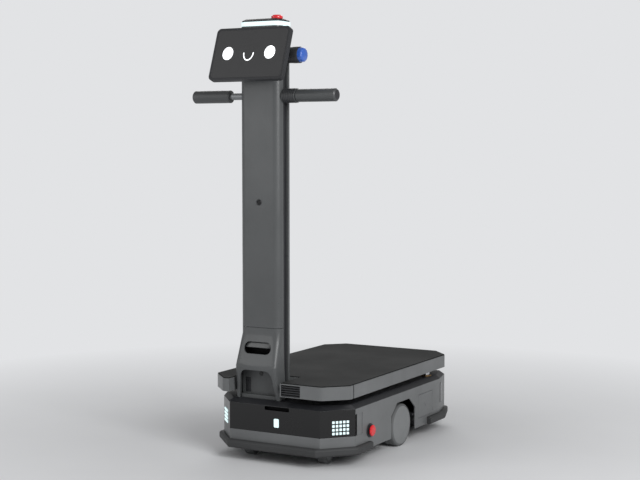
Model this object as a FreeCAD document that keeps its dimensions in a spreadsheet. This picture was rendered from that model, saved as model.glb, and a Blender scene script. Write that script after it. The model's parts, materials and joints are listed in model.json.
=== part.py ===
"""Autonomous mobile robot: a wheeled base, a lifting load platform and a tall column.

The chassis centre line is x = 0 and the floor is z = 0 while the pieces are drawn.
The front looks to -Y.  Each finished piece is then placed so that the frame's origin
lies on the floor, in the middle of the whole robot's outline.
"""
import FreeCAD, Part
import math
import os

import Sketcher
from FreeCAD import Placement, Rotation, Vector

SIZES = {
    # base, in plan
    "base_length": 835, "base_width": 500, "bumper_reach": 21.5, "bumper_stand": 15,
    "front_cut_across": 76, "front_cut_along": 84, "skin_wall": 4,
    "rear_cut_across": 25, "rear_cut_along": 98,
    # base, heights over the floor
    "ground_gap": 40, "bumper_top": 63, "lower_cover_top": 94, "panel_top": 176,
    "deck_rise": 14, "deck_wall": 4, "bevel_front": 18, "bevel_side": 14,
    # bumpers
    "bumper_cut_across": 95, "bumper_cut_along": 100, "bumper_round": 5,
    "tail_bumper_across": 36, "tail_bumper_along": 100,
    "front_bumper_run": 197.5, "rear_bumper_run": 217.5,
    # chassis plate and what hangs from it
    "plate_rise": 18, "plate_wall": 5, "rail_width": 30, "rail_height": 40, "rail_gap": 68,
    "rail_setback": 40, "mast_block_drop": 10, "mast_block_wall": 6,
    # driven wheels
    "wheel_radius": 68, "wheel_width": 44, "wheel_inset": 6, "wheel_place": 19,
    "tyre_wall": 6, "axle_radius": 9, "bracket_wall": 8, "bracket_width": 60,
    "bay_gap": 8, "bay_side_gap": 13, "bracket_gap": 6,
    "arch_gap": 20, "arch_rise": 11, "arch_slant": 43, "arch_drop": 35,
    # casters
    "caster_radius": 28, "caster_width": 31, "caster_inset": 105, "front_caster_setback": 64,
    "rear_caster_setback": 96, "caster_trail": 20, "kingpin_radius": 6, "caster_axle_radius": 4,
    "fork_wall": 3, "caster_plate": 64, "caster_plate_wall": 4, "crown_radius": 21,
    "crown_height": 10, "kingpin_length": 16,
    # front fascia fittings
    "slot_width": 86, "slot_height": 12, "slot_place": 10, "lidar_depth": 26, "lidar_setback": 6,
    "dot_side": 7.4, "dot_pitch": 11.4, "dot_rise": 8, "dot_wall": 2,
    "status_width": 18, "status_height": 27, "status_rise": 18, "status_place": 8,
    # side fittings
    "estop_setback": 178, "estop_rise": 4, "estop_ring": 21.5, "estop_wall": 3,
    "estop_head": 17.5, "estop_depth": 30, "estop_travel": 4, "stem_radius": 6,
    "door_setback": 151, "door_width": 115, "door_drop": 22, "door_height": 78, "door_wall": 3,
    "door_gap": 1, "hinge_pin": 1.2, "lock_radius": 6, "cam_wall": 2, "cam_grip": 6,
    "door_round": 6, "window_drop": 16, "window_width": 14,
    # inside the base
    "battery_width": 280, "battery_front": 100, "battery_setback": 121, "battery_height": 72,
    "controller_width": 140, "controller_gap": 42, "controller_rear": 70,
    "controller_height": 46, "fin_height": 14, "fin_wall": 6, "fin_pitch": 22,
    # platform
    "platform_inset": 13, "platform_front_gap": 5.5, "platform_rear_gap": 15.5,
    "platform_gap": 21, "platform_wall": 43, "platform_cut": 64, "platform_rear_cut": 60,
    "mat_wall": 3, "mat_margin": 2.5, "tray_top_wall": 5, "tray_rail": 60, "tray_round": 26,
    "groove_width": 8, "groove_depth": 5, "groove_place": 16,
    "notch_gap": 18, "louvre_side": 3, "louvre_end": 73, "louvre_height": 35, "louvre_depth": 12,
    "louvre_low": 2,
    "post_radius": 12, "post_rise": 9, "rear_post_inset": 35, "rear_post_setback": 140,
    "front_post_gap": 28, "front_post_along": 150, "bush_wall": 3, "bush_height": 24,
    "screw_radius": 14, "actuator_height": 80, "motor_side": 50,
    # column
    "column_inset": 183, "column_width": 142, "column_setback": 47.5, "column_depth": 68,
    "column_top": 1325, "column_wall": 4, "channel_depth": 7,
    "cover_depth": 26, "rear_cover_wall": 14, "seam_rise": 20, "seam_gap": 1,
    "flare_rise": 97, "knee_rise": 102, "knee_reach": 28, "knee_spread": 2, "knee_round": 12,
    "foot_spread": 8, "foot_reach": 8, "foot_round": 8,
    "leg_foot": 13, "leg_head": 20, "recess_drop": 11, "recess_round": 24,
    "recess_depth": 39, "sill_height": 12, "vent_width": 20, "vent_place": 48,
    "slot_long": 95, "slot_tall": 36, "slot_rise": 56,
    "eye_height": 793, "eye_radius": 8, "low_eye_drop": 15,
    # head
    "band_height": 13, "cap_height": 9, "cap_edge": 4,
    "top_button_place": 45, "top_button_radius": 17.5, "top_button_rise": 11,
    "handle_drop": 210, "handle_setback": 32, "handle_span": 506, "grip_radius": 19.5,
    "grip_length": 135, "bar_radius": 10.5, "collar_radius": 21.5,
    "call_drop": 89, "call_radius": 24, "call_length": 41, "call_cap": 33, "call_travel": 5,
    # display
    "display_width": 258, "display_tall": 168, "display_wall": 22, "display_drop": 164,
    "display_stand": 82, "display_round": 14, "glass_wall": 2, "glass_margin": 7,
    # fits
    "running_gap": 0.05, "fit_gap": 0.3,
}
DISPLAY_TILT = 20

doc = FreeCAD.newDocument("mobile_robot")
sheet = doc.addObject("Spreadsheet::Sheet", "sizes")


class Dim:
    """A size that keeps both its number and the formula that it is worked out with."""

    def __init__(self, value, text):
        self.value = float(value)
        self.text = text

    def pair(self, other, sign, value, swap=False):
        far = other.text if isinstance(other, Dim) else str(float(other))
        left, right = (far, self.text) if swap else (self.text, far)
        return Dim(value, "(" + left + " " + sign + " " + right + ")")

    def __add__(self, other):
        return self.pair(other, "+", self.value + float(other))

    def __radd__(self, other):
        return self.pair(other, "+", self.value + float(other), True)

    def __sub__(self, other):
        return self.pair(other, "-", self.value - float(other))

    def __rsub__(self, other):
        return self.pair(other, "-", float(other) - self.value, True)

    def __mul__(self, other):
        return self.pair(other, "*", self.value * float(other))

    __rmul__ = __mul__

    def __truediv__(self, other):
        return self.pair(other, "/", self.value / float(other))

    def __neg__(self):
        return self * -1

    def __float__(self):
        return self.value


class Sizes:
    """The sheet's sizes by name."""


S = Sizes()
for row, (alias, number) in enumerate(SIZES.items(), 1):
    cell = "B" + str(row)
    sheet.set("A" + str(row), alias)
    sheet.set(cell, str(number))
    sheet.setAlias(cell, alias)
    setattr(S, alias, Dim(number, "sizes." + alias))
doc.recompute()

NODES = {}
X_AXIS, Y_AXIS, Z_AXIS = Vector(1, 0, 0), Vector(0, 1, 0), Vector(0, 0, 1)
ALONG_X = Rotation(Y_AXIS, 90)
ALONG_Y = Rotation(X_AXIS, -90)
UPRIGHT = Rotation()


# ---------------------------------------------------------------- general helpers
def bind(item, prop, size):
    """Give a property its number, and its formula where the size has one."""
    if isinstance(size, Dim):
        item.setExpression(prop, size.text)


def place(item, x, y, z, turn=UPRIGHT):
    item.Placement = Placement(Vector(float(x), float(y), float(z)), turn)
    for axis, size in (("x", x), ("y", y), ("z", z)):
        bind(item, "Placement.Base." + axis, size)


def node(name, item, x=0, y=0, z=0, turn=UPRIGHT):
    """Name a finished piece and place it against the frame's origin."""
    item.Label = name
    place(item, x + CHASSIS_X, y + CHASSIS_Y, z, turn)
    NODES[name] = item
    return item


def solid(kind, name, **sizes):
    item = doc.addObject("Part::" + kind, name)
    for prop, size in sizes.items():
        setattr(item, prop, float(size))
        bind(item, prop, size)
    return item


def block(name, low, spans):
    item = solid("Box", name, Length=spans[0], Width=spans[1], Height=spans[2])
    place(item, *low)
    return item


def cylinder(name, radius, height, at, turn=UPRIGHT):
    item = solid("Cylinder", name, Radius=radius, Height=height)
    place(item, *at, turn)
    return item


def fuse(name, pieces):
    item = doc.addObject("Part::MultiFuse", name)
    item.Shapes = pieces
    item.Refine = True
    return item


def cut(name, base, tool):
    item = doc.addObject("Part::Cut", name)
    item.Base = base
    item.Tool = tool
    return item


def group(name, pieces):
    item = doc.addObject("Part::Compound", name)
    item.Links = pieces
    return item


def new_body(name):
    return doc.addObject("PartDesign::Body", name + "_body")


def feature(body, kind, **props):
    """Add a PartDesign feature, bind its sizes and see that it changed the solid."""
    doc.recompute()
    before = body.Shape.Volume if body.Shape and body.Shape.Solids else 0
    item = body.newObject("PartDesign::" + kind, body.Name + "_" + kind.lower())
    for prop, value in props.items():
        setattr(item, prop, float(value) if isinstance(value, Dim) else value)
        bind(item, prop, value)
    doc.recompute()
    if not item.isValid() or abs(body.Shape.Volume - before) < 1e-3:
        raise RuntimeError(item.Name + " did not change its solid")
    return item


def new_sketch(body, plane, offset):
    sketch = body.newObject("Sketcher::SketchObject", body.Name + "_sketch")
    base = [item for item in body.Origin.OriginFeatures if item.Role == plane][0]
    sketch.AttachmentSupport = [(base, "")]
    sketch.MapMode = "FlatFace"
    sketch.AttachmentOffset = Placement(Vector(0, 0, float(offset)), UPRIGHT)
    bind(sketch, "AttachmentOffset.Base.z", offset)
    return sketch


def hold(sketch, kind, *args):
    """Add a constraint whose last argument is a size, and bind it."""
    index = sketch.addConstraint(Sketcher.Constraint(kind, *args[:-1], float(args[-1])))
    if isinstance(args[-1], Dim):
        sketch.setExpression("Constraints[" + str(index) + "]", args[-1].text)


def direction(start, end):
    """The unit vector from one corner to another."""
    return Vector(float(end[0]) - float(start[0]), float(end[1]) - float(start[1]), 0).normalize()


def split_corners(corners):
    """Turn (x, y) and (x, y, radius) corners into points, each with the arc that leaves it."""
    points = []
    for index, corner in enumerate(corners):
        if len(corner) == 2:
            points.append((corner[0], corner[1], None))
            continue
        x, y, radius = corner
        ways = [direction(corner, corners[index - 1]),
                direction(corner, corners[(index + 1) % len(corners)])]
        reach = 1 / math.tan(ways[0].getAngle(ways[1]) / 2)
        for way, arc in zip(ways, (radius, None)):
            points.append((x + radius * round(way.x * reach, 9),
                           y + radius * round(way.y * reach, 9), arc))
    return points


def arc_between(before, start, end, radius):
    way = (start - before).normalize()
    side = math.copysign(1, way.cross(end - start).z)
    centre = start + Vector(-way.y, way.x, 0) * side * radius
    middle = centre + ((start - centre) + (end - centre)).normalize() * radius
    return Part.Arc(start, middle, end)


def outline(body, plane, offset, corners):
    """A closed sketch; a corner with a third value is rounded to that radius."""
    sketch = new_sketch(body, plane, offset)
    points = split_corners(corners)
    spots = [Vector(float(x), float(y), 0) for x, y, _ in points]
    count = len(points)
    for index, (_, _, radius) in enumerate(points):
        start, end = spots[index], spots[(index + 1) % count]
        if radius is None:
            sketch.addGeometry(Part.LineSegment(start, end), False)
        else:
            sketch.addGeometry(arc_between(spots[index - 1], start, end, float(radius)), False)

    def ends(index):
        """The point numbers of a piece's two ends, in the outline's order."""
        line = sketch.Geometry[index]
        forward = (line.StartPoint - spots[index]).Length < 1e-4
        return (1, 2) if forward else (2, 1)

    for index, (x, y, radius) in enumerate(points):
        follower = (index + 1) % count
        joint = Sketcher.Constraint("Coincident", index, ends(index)[1], follower, ends(follower)[0])
        sketch.addConstraint(joint)
        hold(sketch, "DistanceX", -1, 1, index, ends(index)[0], x)
        hold(sketch, "DistanceY", -1, 1, index, ends(index)[0], y)
        if radius is not None:
            hold(sketch, "Radius", index, radius)
    return sketch


def circle(body, plane, offset, x, y, radius):
    sketch = new_sketch(body, plane, offset)
    sketch.addGeometry(Part.Circle(Vector(float(x), float(y), 0), Z_AXIS, float(radius)), False)
    hold(sketch, "DistanceX", -1, 1, 0, 3, x)
    hold(sketch, "DistanceY", -1, 1, 0, 3, y)
    hold(sketch, "Radius", 0, radius)
    return sketch


def span_offset(plane, low, high, adding):
    """Where a sketch lies so that a pad or a pocket fills the stretch from low to high."""
    if plane == "XZ_Plane":
        return -high if adding else -low
    return low if adding else high


def add_slab(body, plane, low, high, corners):
    sketch = outline(body, plane, span_offset(plane, low, high, True), corners)
    return feature(body, "Pad", Profile=sketch, Length=high - low)


def cut_slab(body, plane, low, high, corners):
    sketch = outline(body, plane, span_offset(plane, low, high, False), corners)
    return feature(body, "Pocket", Profile=sketch, Length=high - low)


def add_round(body, plane, low, high, x, y, radius):
    sketch = circle(body, plane, span_offset(plane, low, high, True), x, y, radius)
    return feature(body, "Pad", Profile=sketch, Length=high - low)


def cut_round(body, plane, low, high, x, y, radius):
    sketch = circle(body, plane, span_offset(plane, low, high, False), x, y, radius)
    return feature(body, "Pocket", Profile=sketch, Length=high - low)


def slab(name, plane, low, high, corners):
    body = new_body(name)
    add_slab(body, plane, low, high, corners)
    return body


def edges_where(body, test):
    """Names of the edges whose box passes a test."""
    return ["Edge" + str(i) for i, edge in enumerate(body.Shape.Edges, 1) if test(edge.BoundBox)]


def fillet(body, radius, test):
    return feature(body, "Fillet", Base=(body.Tip, edges_where(body, test)), Radius=radius)


def chamfer(body, size, test):
    return feature(body, "Chamfer", Base=(body.Tip, edges_where(body, test)), Size=size)


def upright(box):
    return box.ZLength > 1 and box.XLength < 0.01 and box.YLength < 0.01


def at_height(box, z):
    return box.ZLength < 0.01 and abs(box.ZMin - float(z)) < 0.01


def rectangle(x_low, y_low, x_high, y_high):
    return [(x_low, y_low), (x_high, y_low), (x_high, y_high), (x_low, y_high)]


def rounded_box(x_low, y_low, x_high, y_high, radius):
    return [corner + (radius,) for corner in rectangle(x_low, y_low, x_high, y_high)]


def half_rounded_box(x_low, y_low, x_high, y_high, radius):
    """A rectangle whose two corners at the low x are rounded."""
    return [(x_low, y_low, radius), (x_high, y_low), (x_high, y_high), (x_low, y_high, radius)]


def revolved(name, corners):
    """A body turned round the X axis from a profile of (along the axis, radius) corners."""
    body = new_body(name)
    profile = outline(body, "XY_Plane", 0, corners)
    axis = [item for item in body.Origin.OriginFeatures if item.Role == "X_Axis"][0]
    feature(body, "Revolution", Profile=profile, ReferenceAxis=(axis, [""]), Angle=360.0)
    return body


# ---------------------------------------------------------------- shared places
SIDES = {"left": -1, "right": 1}
HALF_BASE = S.base_width / 2
HALF_LENGTH = S.base_length / 2
HALF_BODY = HALF_BASE - S.bumper_stand
BODY_FRONT = HALF_LENGTH - S.bumper_reach
BODY_REAR = HALF_LENGTH - S.bumper_reach
DECK_TOP = S.panel_top + S.deck_rise
PLATE_LOW = S.wheel_radius + S.plate_rise
PLATE_TOP = PLATE_LOW + S.plate_wall

SLOT_HIGH = S.panel_top - 1
SLOT_LOW = SLOT_HIGH - S.slot_height
WINDOW_HIGH = S.panel_top - S.window_drop
DOT_LOW = S.lower_cover_top + S.dot_rise
STATUS_LOW = S.lower_cover_top + S.status_rise
ESTOP_Y = BODY_FRONT - S.estop_setback
DOOR_REAR = BODY_REAR - S.door_setback
DOOR_FRONT = DOOR_REAR - S.door_width
DOOR_LOW = PLATE_TOP - S.door_drop
DOOR_HIGH = DOOR_LOW + S.door_height
ESTOP_Z = PLATE_TOP + S.estop_rise
BATTERY_REAR = BODY_REAR - S.battery_setback

WHEEL_FACE = HALF_BODY - S.wheel_inset
WHEEL_BAY = WHEEL_FACE - S.wheel_width - S.bay_side_gap
BRACKET_FACE = WHEEL_BAY - S.bracket_wall - S.bracket_gap
ARCH_HALF = S.wheel_radius + S.arch_gap
ARCH_TOP = S.wheel_radius * 2 + S.arch_rise
ARCH_SHOULDER = ARCH_TOP - S.arch_drop
ARCH_TOP_HALF = ARCH_HALF - S.arch_slant
CASTER_X = HALF_BODY - S.caster_inset
RAIL_X = CASTER_X - S.rail_gap
CORNERS = {"front_left": (-1, S.front_caster_setback - BODY_FRONT),
           "front_right": (1, S.front_caster_setback - BODY_FRONT),
           "rear_left": (-1, BODY_REAR - S.rear_caster_setback),
           "rear_right": (1, BODY_REAR - S.rear_caster_setback)}

COLUMN_X = S.column_inset - HALF_BASE
COLUMN_HALF = S.column_width / 2
KNEE_HALF = COLUMN_HALF + S.knee_spread
FOOT_HALF = COLUMN_HALF + S.foot_spread
RECESS_HEAD = KNEE_HALF - S.leg_head
RECESS_FOOT = FOOT_HALF - S.leg_foot
COLUMN_FRONT = HALF_LENGTH - S.column_setback
COLUMN_REAR = COLUMN_FRONT - S.column_depth
COVER_BACK = COLUMN_FRONT - S.cover_depth
COLUMN_ROUND = S.cover_depth * 0.92
KNEE = DECK_TOP + S.knee_rise
FLARE_TOP = KNEE + S.flare_rise
SEAM = FLARE_TOP + S.seam_rise
RECESS_TOP = KNEE - S.recess_drop
LOW_EYE = RECESS_TOP - S.low_eye_drop
SLOT_MIDDLE = KNEE + S.slot_rise
HANDLE_Y = COLUMN_FRONT - S.handle_setback
HANDLE_Z = S.column_top - S.handle_drop
CALL_Z = S.column_top - S.call_drop
DISPLAY_Y = COLUMN_FRONT + S.display_stand
DISPLAY_Z = S.column_top - S.display_drop
BUTTON_TOP = S.column_top + S.band_height + S.cap_height + S.top_button_rise
CONTROLLER_FRONT = COLUMN_REAR - S.controller_gap

TRAY_LOW = DECK_TOP + S.platform_gap
TRAY_HALF = HALF_BASE - S.platform_inset
TRAY_FRONT = HALF_LENGTH - S.platform_front_gap
TRAY_REAR = HALF_LENGTH - S.platform_rear_gap
MAT_TOP = TRAY_LOW + S.platform_wall
TRAY_TOP = MAT_TOP - S.mat_wall
NOTCH_LEFT = COLUMN_X - FOOT_HALF - S.notch_gap / 3
NOTCH_RIGHT = COLUMN_X + FOOT_HALF + S.notch_gap
TRAY_NOSE = TRAY_HALF - S.platform_cut
LOUVRE_WIDTH = TRAY_NOSE - S.louvre_end - NOTCH_RIGHT - S.louvre_side
NOTCH_BACK = 8 - COLUMN_REAR
POST_LOW = PLATE_TOP + S.post_rise

# the frame's origin lies in the middle of the outline of base, handle and display
CHASSIS_X = (S.handle_span / 2 - COLUMN_X - HALF_BASE) / 2
CHASSIS_Y = (DISPLAY_Y - HALF_LENGTH) / 2


def body_plan(inset=0, front_inset=None):
    """The base's outline in plan, moved inwards."""
    front_inset = inset if front_inset is None else front_inset
    half = HALF_BODY - inset
    front = front_inset - BODY_FRONT
    rear = BODY_REAR - inset
    front_corner = S.front_cut_along - BODY_FRONT
    rear_corner = BODY_REAR - S.rear_cut_along
    nose = HALF_BODY - S.front_cut_across - inset / 2
    tail = HALF_BODY - S.rear_cut_across - inset
    return [(-nose, front), (nose, front), (half, front_corner), (half, rear_corner),
            (tail, rear), (-tail, rear), (-half, rear_corner), (-half, front_corner)]


# ---------------------------------------------------------------- chassis
def chassis_frame():
    """Folded plate with two rails, bays for the driven wheels and a block under the column."""
    body = new_body("chassis_frame")
    wall = S.skin_wall
    bay_low = S.wheel_place - S.wheel_radius - S.bay_gap
    bay_high = S.wheel_place + S.wheel_radius + S.bay_gap
    front = body_plan(wall)[:3]
    rear = body_plan(wall)[3:5]
    half = HALF_BODY - wall
    right = front[1:] + [(half, bay_low), (WHEEL_BAY, bay_low), (WHEEL_BAY, bay_high),
                         (half, bay_high)] + rear
    left = [(-x, y) for x, y in reversed(right)]
    add_slab(body, "XY_Plane", PLATE_LOW, PLATE_TOP, right + left)
    for side in SIDES.values():
        middle = side * RAIL_X
        add_slab(body, "XY_Plane", PLATE_LOW - S.rail_height, PLATE_LOW,
                 rectangle(middle - S.rail_width / 2, S.rail_setback - BODY_FRONT,
                           middle + S.rail_width / 2, BODY_REAR - S.rail_setback))
    notch = S.stem_radius * 2 + 3
    for side in SIDES.values():
        ends = sorted((side * (half + 1), side * (half - 30)), key=float)
        cut_slab(body, "XY_Plane", PLATE_LOW, PLATE_TOP,
                 rectangle(ends[0], -ESTOP_Y - notch, ends[1], -ESTOP_Y + notch))
    under_deck = DECK_TOP - S.deck_wall
    block_front = -COLUMN_FRONT + S.mast_block_drop
    add_slab(body, "XY_Plane", PLATE_TOP, under_deck,
             rectangle(COLUMN_X - S.column_width / 2, block_front,
                       COLUMN_X + S.column_width / 2, -COLUMN_REAR))
    wall = S.mast_block_wall
    cut_slab(body, "XY_Plane", PLATE_TOP, under_deck - wall,
             rectangle(COLUMN_X - S.column_width / 2 + wall, block_front + wall,
                       COLUMN_X + S.column_width / 2 - wall, -COLUMN_REAR - wall))
    return node("chassis_frame", body)


def side_panel(label, side):
    body = new_body("side_panel_" + label)
    half = side * HALF_BODY
    inner = side * (HALF_BODY - S.skin_wall)
    front = S.front_cut_along - BODY_FRONT
    rear = BODY_REAR - S.rear_cut_along
    end_out = side * (HALF_BODY - S.rear_cut_across)
    end_in = side * (HALF_BODY - S.rear_cut_across - S.skin_wall)
    add_slab(body, "XY_Plane", S.ground_gap, S.panel_top,
             [(half, front), (half, rear), (end_out, BODY_REAR), (end_in, BODY_REAR),
              (inner, rear), (inner, front)])
    low, high = (inner, half) if side > 0 else (half, inner)
    middle = S.wheel_place
    cut_slab(body, "YZ_Plane", low, high,
             [(middle - ARCH_HALF, S.ground_gap - 1), (middle + ARCH_HALF, S.ground_gap - 1),
              (middle + ARCH_HALF, ARCH_SHOULDER), (middle + ARCH_TOP_HALF, ARCH_TOP),
              (middle - ARCH_TOP_HALF, ARCH_TOP), (middle - ARCH_HALF, ARCH_SHOULDER)])
    cut_round(body, "YZ_Plane", low, high, -ESTOP_Y, ESTOP_Z, S.stem_radius * 2)
    window_rear = front + S.window_width
    cut_slab(body, "YZ_Plane", low, high,
             rectangle(front - 1, S.lower_cover_top, window_rear, WINDOW_HIGH))
    shallow = half - side * 1.5
    cut_slab(body, "YZ_Plane", min(shallow, half, key=float), max(shallow, half, key=float),
             rectangle(window_rear, S.lower_cover_top, window_rear + 32, WINDOW_HIGH))
    if side > 0:
        cut_slab(body, "YZ_Plane", low, high,
                 half_rounded_box(DOOR_FRONT, DOOR_LOW, DOOR_REAR, DOOR_HIGH,
                                  S.door_round))
        pin_x, pin_y = door_axis()
        cut_round(body, "XY_Plane", DOOR_LOW - 5, DOOR_HIGH + 5, pin_x, pin_y,
                  S.hinge_pin + S.running_gap)
    return node("side_panel_" + label, body)


def front_skin():
    """The thin wall round the front, in plan."""
    outer, inner = body_plan(), body_plan(S.skin_wall)
    return [outer[7], outer[0], outer[1], outer[2], inner[2], inner[1], inner[0], inner[7]]


def front_lower_cover():
    body = slab("front_lower_cover", "XY_Plane", S.ground_gap, S.lower_cover_top, front_skin())
    return node("front_lower_cover", body)


def scanner_slot(inset=0):
    half = S.slot_width / 2 - inset
    return rounded_box(S.slot_place - half, SLOT_LOW + inset, S.slot_place + half,
                       SLOT_HIGH - inset, (SLOT_HIGH - SLOT_LOW) * 0.3)


def status_window(inset=0):
    half = S.status_width / 2 - inset
    return rounded_box(S.status_place - half, STATUS_LOW + inset, S.status_place + half,
                       STATUS_LOW + S.status_height - inset, S.status_width * 0.2)


def front_fascia():
    """Glossy wrap-round front with the scanner's slot and the status lamp's window."""
    body = slab("front_fascia", "XY_Plane", S.lower_cover_top, S.panel_top, front_skin())
    back = S.skin_wall - BODY_FRONT
    cut_slab(body, "XZ_Plane", -BODY_FRONT, back, scanner_slot())
    cut_slab(body, "XZ_Plane", -BODY_FRONT, back, status_window())
    return node("front_fascia", body)


def rear_cover():
    half = HALF_BODY - S.rear_cut_across - S.skin_wall
    body = slab("rear_cover", "XY_Plane", S.ground_gap, S.panel_top,
                rectangle(-half, BODY_REAR - S.skin_wall, half, BODY_REAR))
    for step in range(6):
        low = S.lower_cover_top + 12 + step * 10
        cut_slab(body, "XZ_Plane", BODY_REAR - S.skin_wall, BODY_REAR,
                 rectangle(-70, low, 70, low + 4))
    return node("rear_cover", body)


def top_deck():
    body = new_body("top_deck")
    low = outline(body, "XY_Plane", S.panel_top, body_plan())
    high = outline(body, "XY_Plane", DECK_TOP, body_plan(S.bevel_side, S.bevel_front))
    feature(body, "AdditiveLoft", Profile=low, Sections=[high], Ruled=True)
    cut_slab(body, "XY_Plane", S.panel_top, DECK_TOP - S.deck_wall,
             body_plan(S.bevel_side + S.deck_wall, S.bevel_front + S.deck_wall))
    for x, y in post_places():
        cut_round(body, "XY_Plane", DECK_TOP - S.bevel_front, DECK_TOP, x, y,
                  S.post_radius + S.bush_wall)
    cut_round(body, "XY_Plane", DECK_TOP - S.deck_wall, DECK_TOP, 0, 0, S.screw_radius + 4)
    return node("top_deck", body)


def bumper(name, way):
    """Rubber rail round one end; way is -1 at the front and 1 at the rear."""
    end = HALF_LENGTH - S.front_bumper_run if way < 0 else HALF_LENGTH - S.rear_bumper_run
    plan = body_plan()
    across, along = S.bumper_cut_across, S.bumper_cut_along
    if way > 0:
        across, along = S.tail_bumper_across, S.tail_bumper_along
    half_tip = HALF_BASE - across
    corner = HALF_LENGTH - along
    outer = [(-HALF_BASE, way * end), (-HALF_BASE, way * corner), (-half_tip, way * HALF_LENGTH),
             (half_tip, way * HALF_LENGTH), (HALF_BASE, way * corner), (HALF_BASE, way * end)]
    inner = [plan[2], plan[1], plan[0], plan[7]] if way < 0 else [plan[3], plan[4], plan[5], plan[6]]
    inner = [(HALF_BODY, way * end)] + inner + [(-HALF_BODY, way * end)]
    body = slab(name, "XY_Plane", S.ground_gap - 2, S.bumper_top, outer + inner)
    rim = float(HALF_BODY) + 1

    def outer_edge(box):
        reach = max(abs(box.XMin), abs(box.XMax))
        far = max(abs(box.YMin), abs(box.YMax))
        level = at_height(box, S.ground_gap - 2) or at_height(box, S.bumper_top)
        return level and (reach > rim or far > float(HALF_LENGTH) - 1) and far > float(end) + 1

    chamfer(body, S.bumper_round, outer_edge)
    return node(name, body)


def lamp_dots():
    """Two panels of square lamp dots that stand on the front chamfers."""
    across, along = S.front_cut_across, S.front_cut_along
    run = math.hypot(float(across), float(along))
    way = Vector(float(across) / run, float(along) / run, 0)
    dots = []
    for side in SIDES.values():
        corner_turn = math.degrees(math.atan2(way.y, way.x))
        turn = Rotation(Z_AXIS, corner_turn if side > 0 else 180 - corner_turn)
        out = Vector(0, -1, 0) if side > 0 else Vector(0, 0, 0)
        lift = turn.multVec(out)
        for column in range(-2, 3):
            reach = 0.58 * run + S.dot_pitch * column - S.dot_side / 2
            x = side * (HALF_BODY - across + reach * way.x)
            y = reach * way.y - BODY_FRONT
            for row in range(4):
                dot = solid("Box", "dot", Length=S.dot_side, Width=S.dot_wall, Height=S.dot_side)
                place(dot, x + S.dot_wall * lift.x, y + S.dot_wall * lift.y,
                      DOT_LOW + S.dot_pitch * row, turn)
                dots.append(dot)
    return dots


def front_lights():
    """Lamp dots seated on the fascia's chamfers and the plain status lamp in its window."""
    node("headlights", group("headlights", lamp_dots()))
    lamp = slab("status_light", "XZ_Plane", -BODY_FRONT, S.skin_wall - BODY_FRONT,
                status_window(S.fit_gap))
    return node("status_light", lamp)


def front_lidar():
    """Flat scanner behind the fascia's slot, on a foot that stands on the chassis plate."""
    front = S.skin_wall - BODY_FRONT + S.lidar_setback
    low = SLOT_LOW - 8
    high = S.panel_top - S.fit_gap
    half = S.slot_width / 2 + 6
    foot_wall = S.lidar_depth - 8
    case = block("lidar_case", (S.slot_place - half, front, low),
                 (half * 2, S.lidar_depth, high - low))
    foot = block("lidar_foot", (S.slot_place - 12, front + 4, PLATE_TOP),
                 (24, foot_wall, low - PLATE_TOP))
    return node("front_lidar", fuse("front_lidar", [case, foot]))


def side_sensors():
    """Dark upright windows set back in the side panels beside the fascia's ends."""
    pieces = []
    front = S.front_cut_along - BODY_FRONT
    wall = S.skin_wall / 2
    for side in SIDES.values():
        low_x = HALF_BODY - S.skin_wall if side > 0 else wall - HALF_BODY
        pieces.append(block("side_sensor", (low_x, front + S.fit_gap, S.lower_cover_top + S.fit_gap),
                            (wall, S.window_width - S.fit_gap * 2,
                             WINDOW_HIGH - S.lower_cover_top - S.fit_gap * 2)))
    return node("side_sensors", group("side_sensors", pieces))


def tail_lights():
    """Slim upright lamps on the two rear chamfers."""
    lamps = []
    run_x, run_y = -S.rear_cut_across, S.rear_cut_along
    rear = BODY_REAR - S.rear_cut_along
    for side in SIDES.values():
        body = new_body("tail_light")
        marks = [(HALF_BODY + run_x * part, rear + run_y * part) for part in (0.15, 0.3)]
        out = [(x + 2, y + 0.5) for x, y in marks]
        corners = [marks[0], out[0], out[1], marks[1]]
        add_slab(body, "XY_Plane", S.lower_cover_top, WINDOW_HIGH, [(side * x, y) for x, y in corners])
        lamps.append(body)
    return node("tail_lights", group("tail_lights", lamps))


def battery_pack():
    half = S.battery_width / 2
    top = PLATE_TOP + S.battery_height
    body = slab("battery_pack", "XY_Plane", PLATE_TOP, top,
                rectangle(-half, S.battery_front, half, BATTERY_REAR))
    chamfer(body, 4, upright)
    middle = (S.battery_front + BATTERY_REAR) / 2
    cut_slab(body, "XY_Plane", top - 6, top,
             rectangle(-half * 0.45, middle - 25, half * 0.45, middle + 25))
    return node("battery_pack", body)


def controller_box():
    half = S.controller_width / 2
    top = PLATE_TOP + S.controller_height
    body = slab("controller_box", "XY_Plane", PLATE_TOP, top,
                rectangle(-half, -CONTROLLER_FRONT, half, -S.controller_rear))
    length = CONTROLLER_FRONT - S.controller_rear
    for step in range(int((float(length) - float(S.fin_wall)) / float(S.fin_pitch))):
        y = S.fin_pitch * step + S.fin_wall * 2 - CONTROLLER_FRONT
        add_slab(body, "XY_Plane", top, top + S.fin_height,
                 rectangle(8 - half, y, half - 8, y + S.fin_wall))
    return node("controller_box", body)


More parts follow.
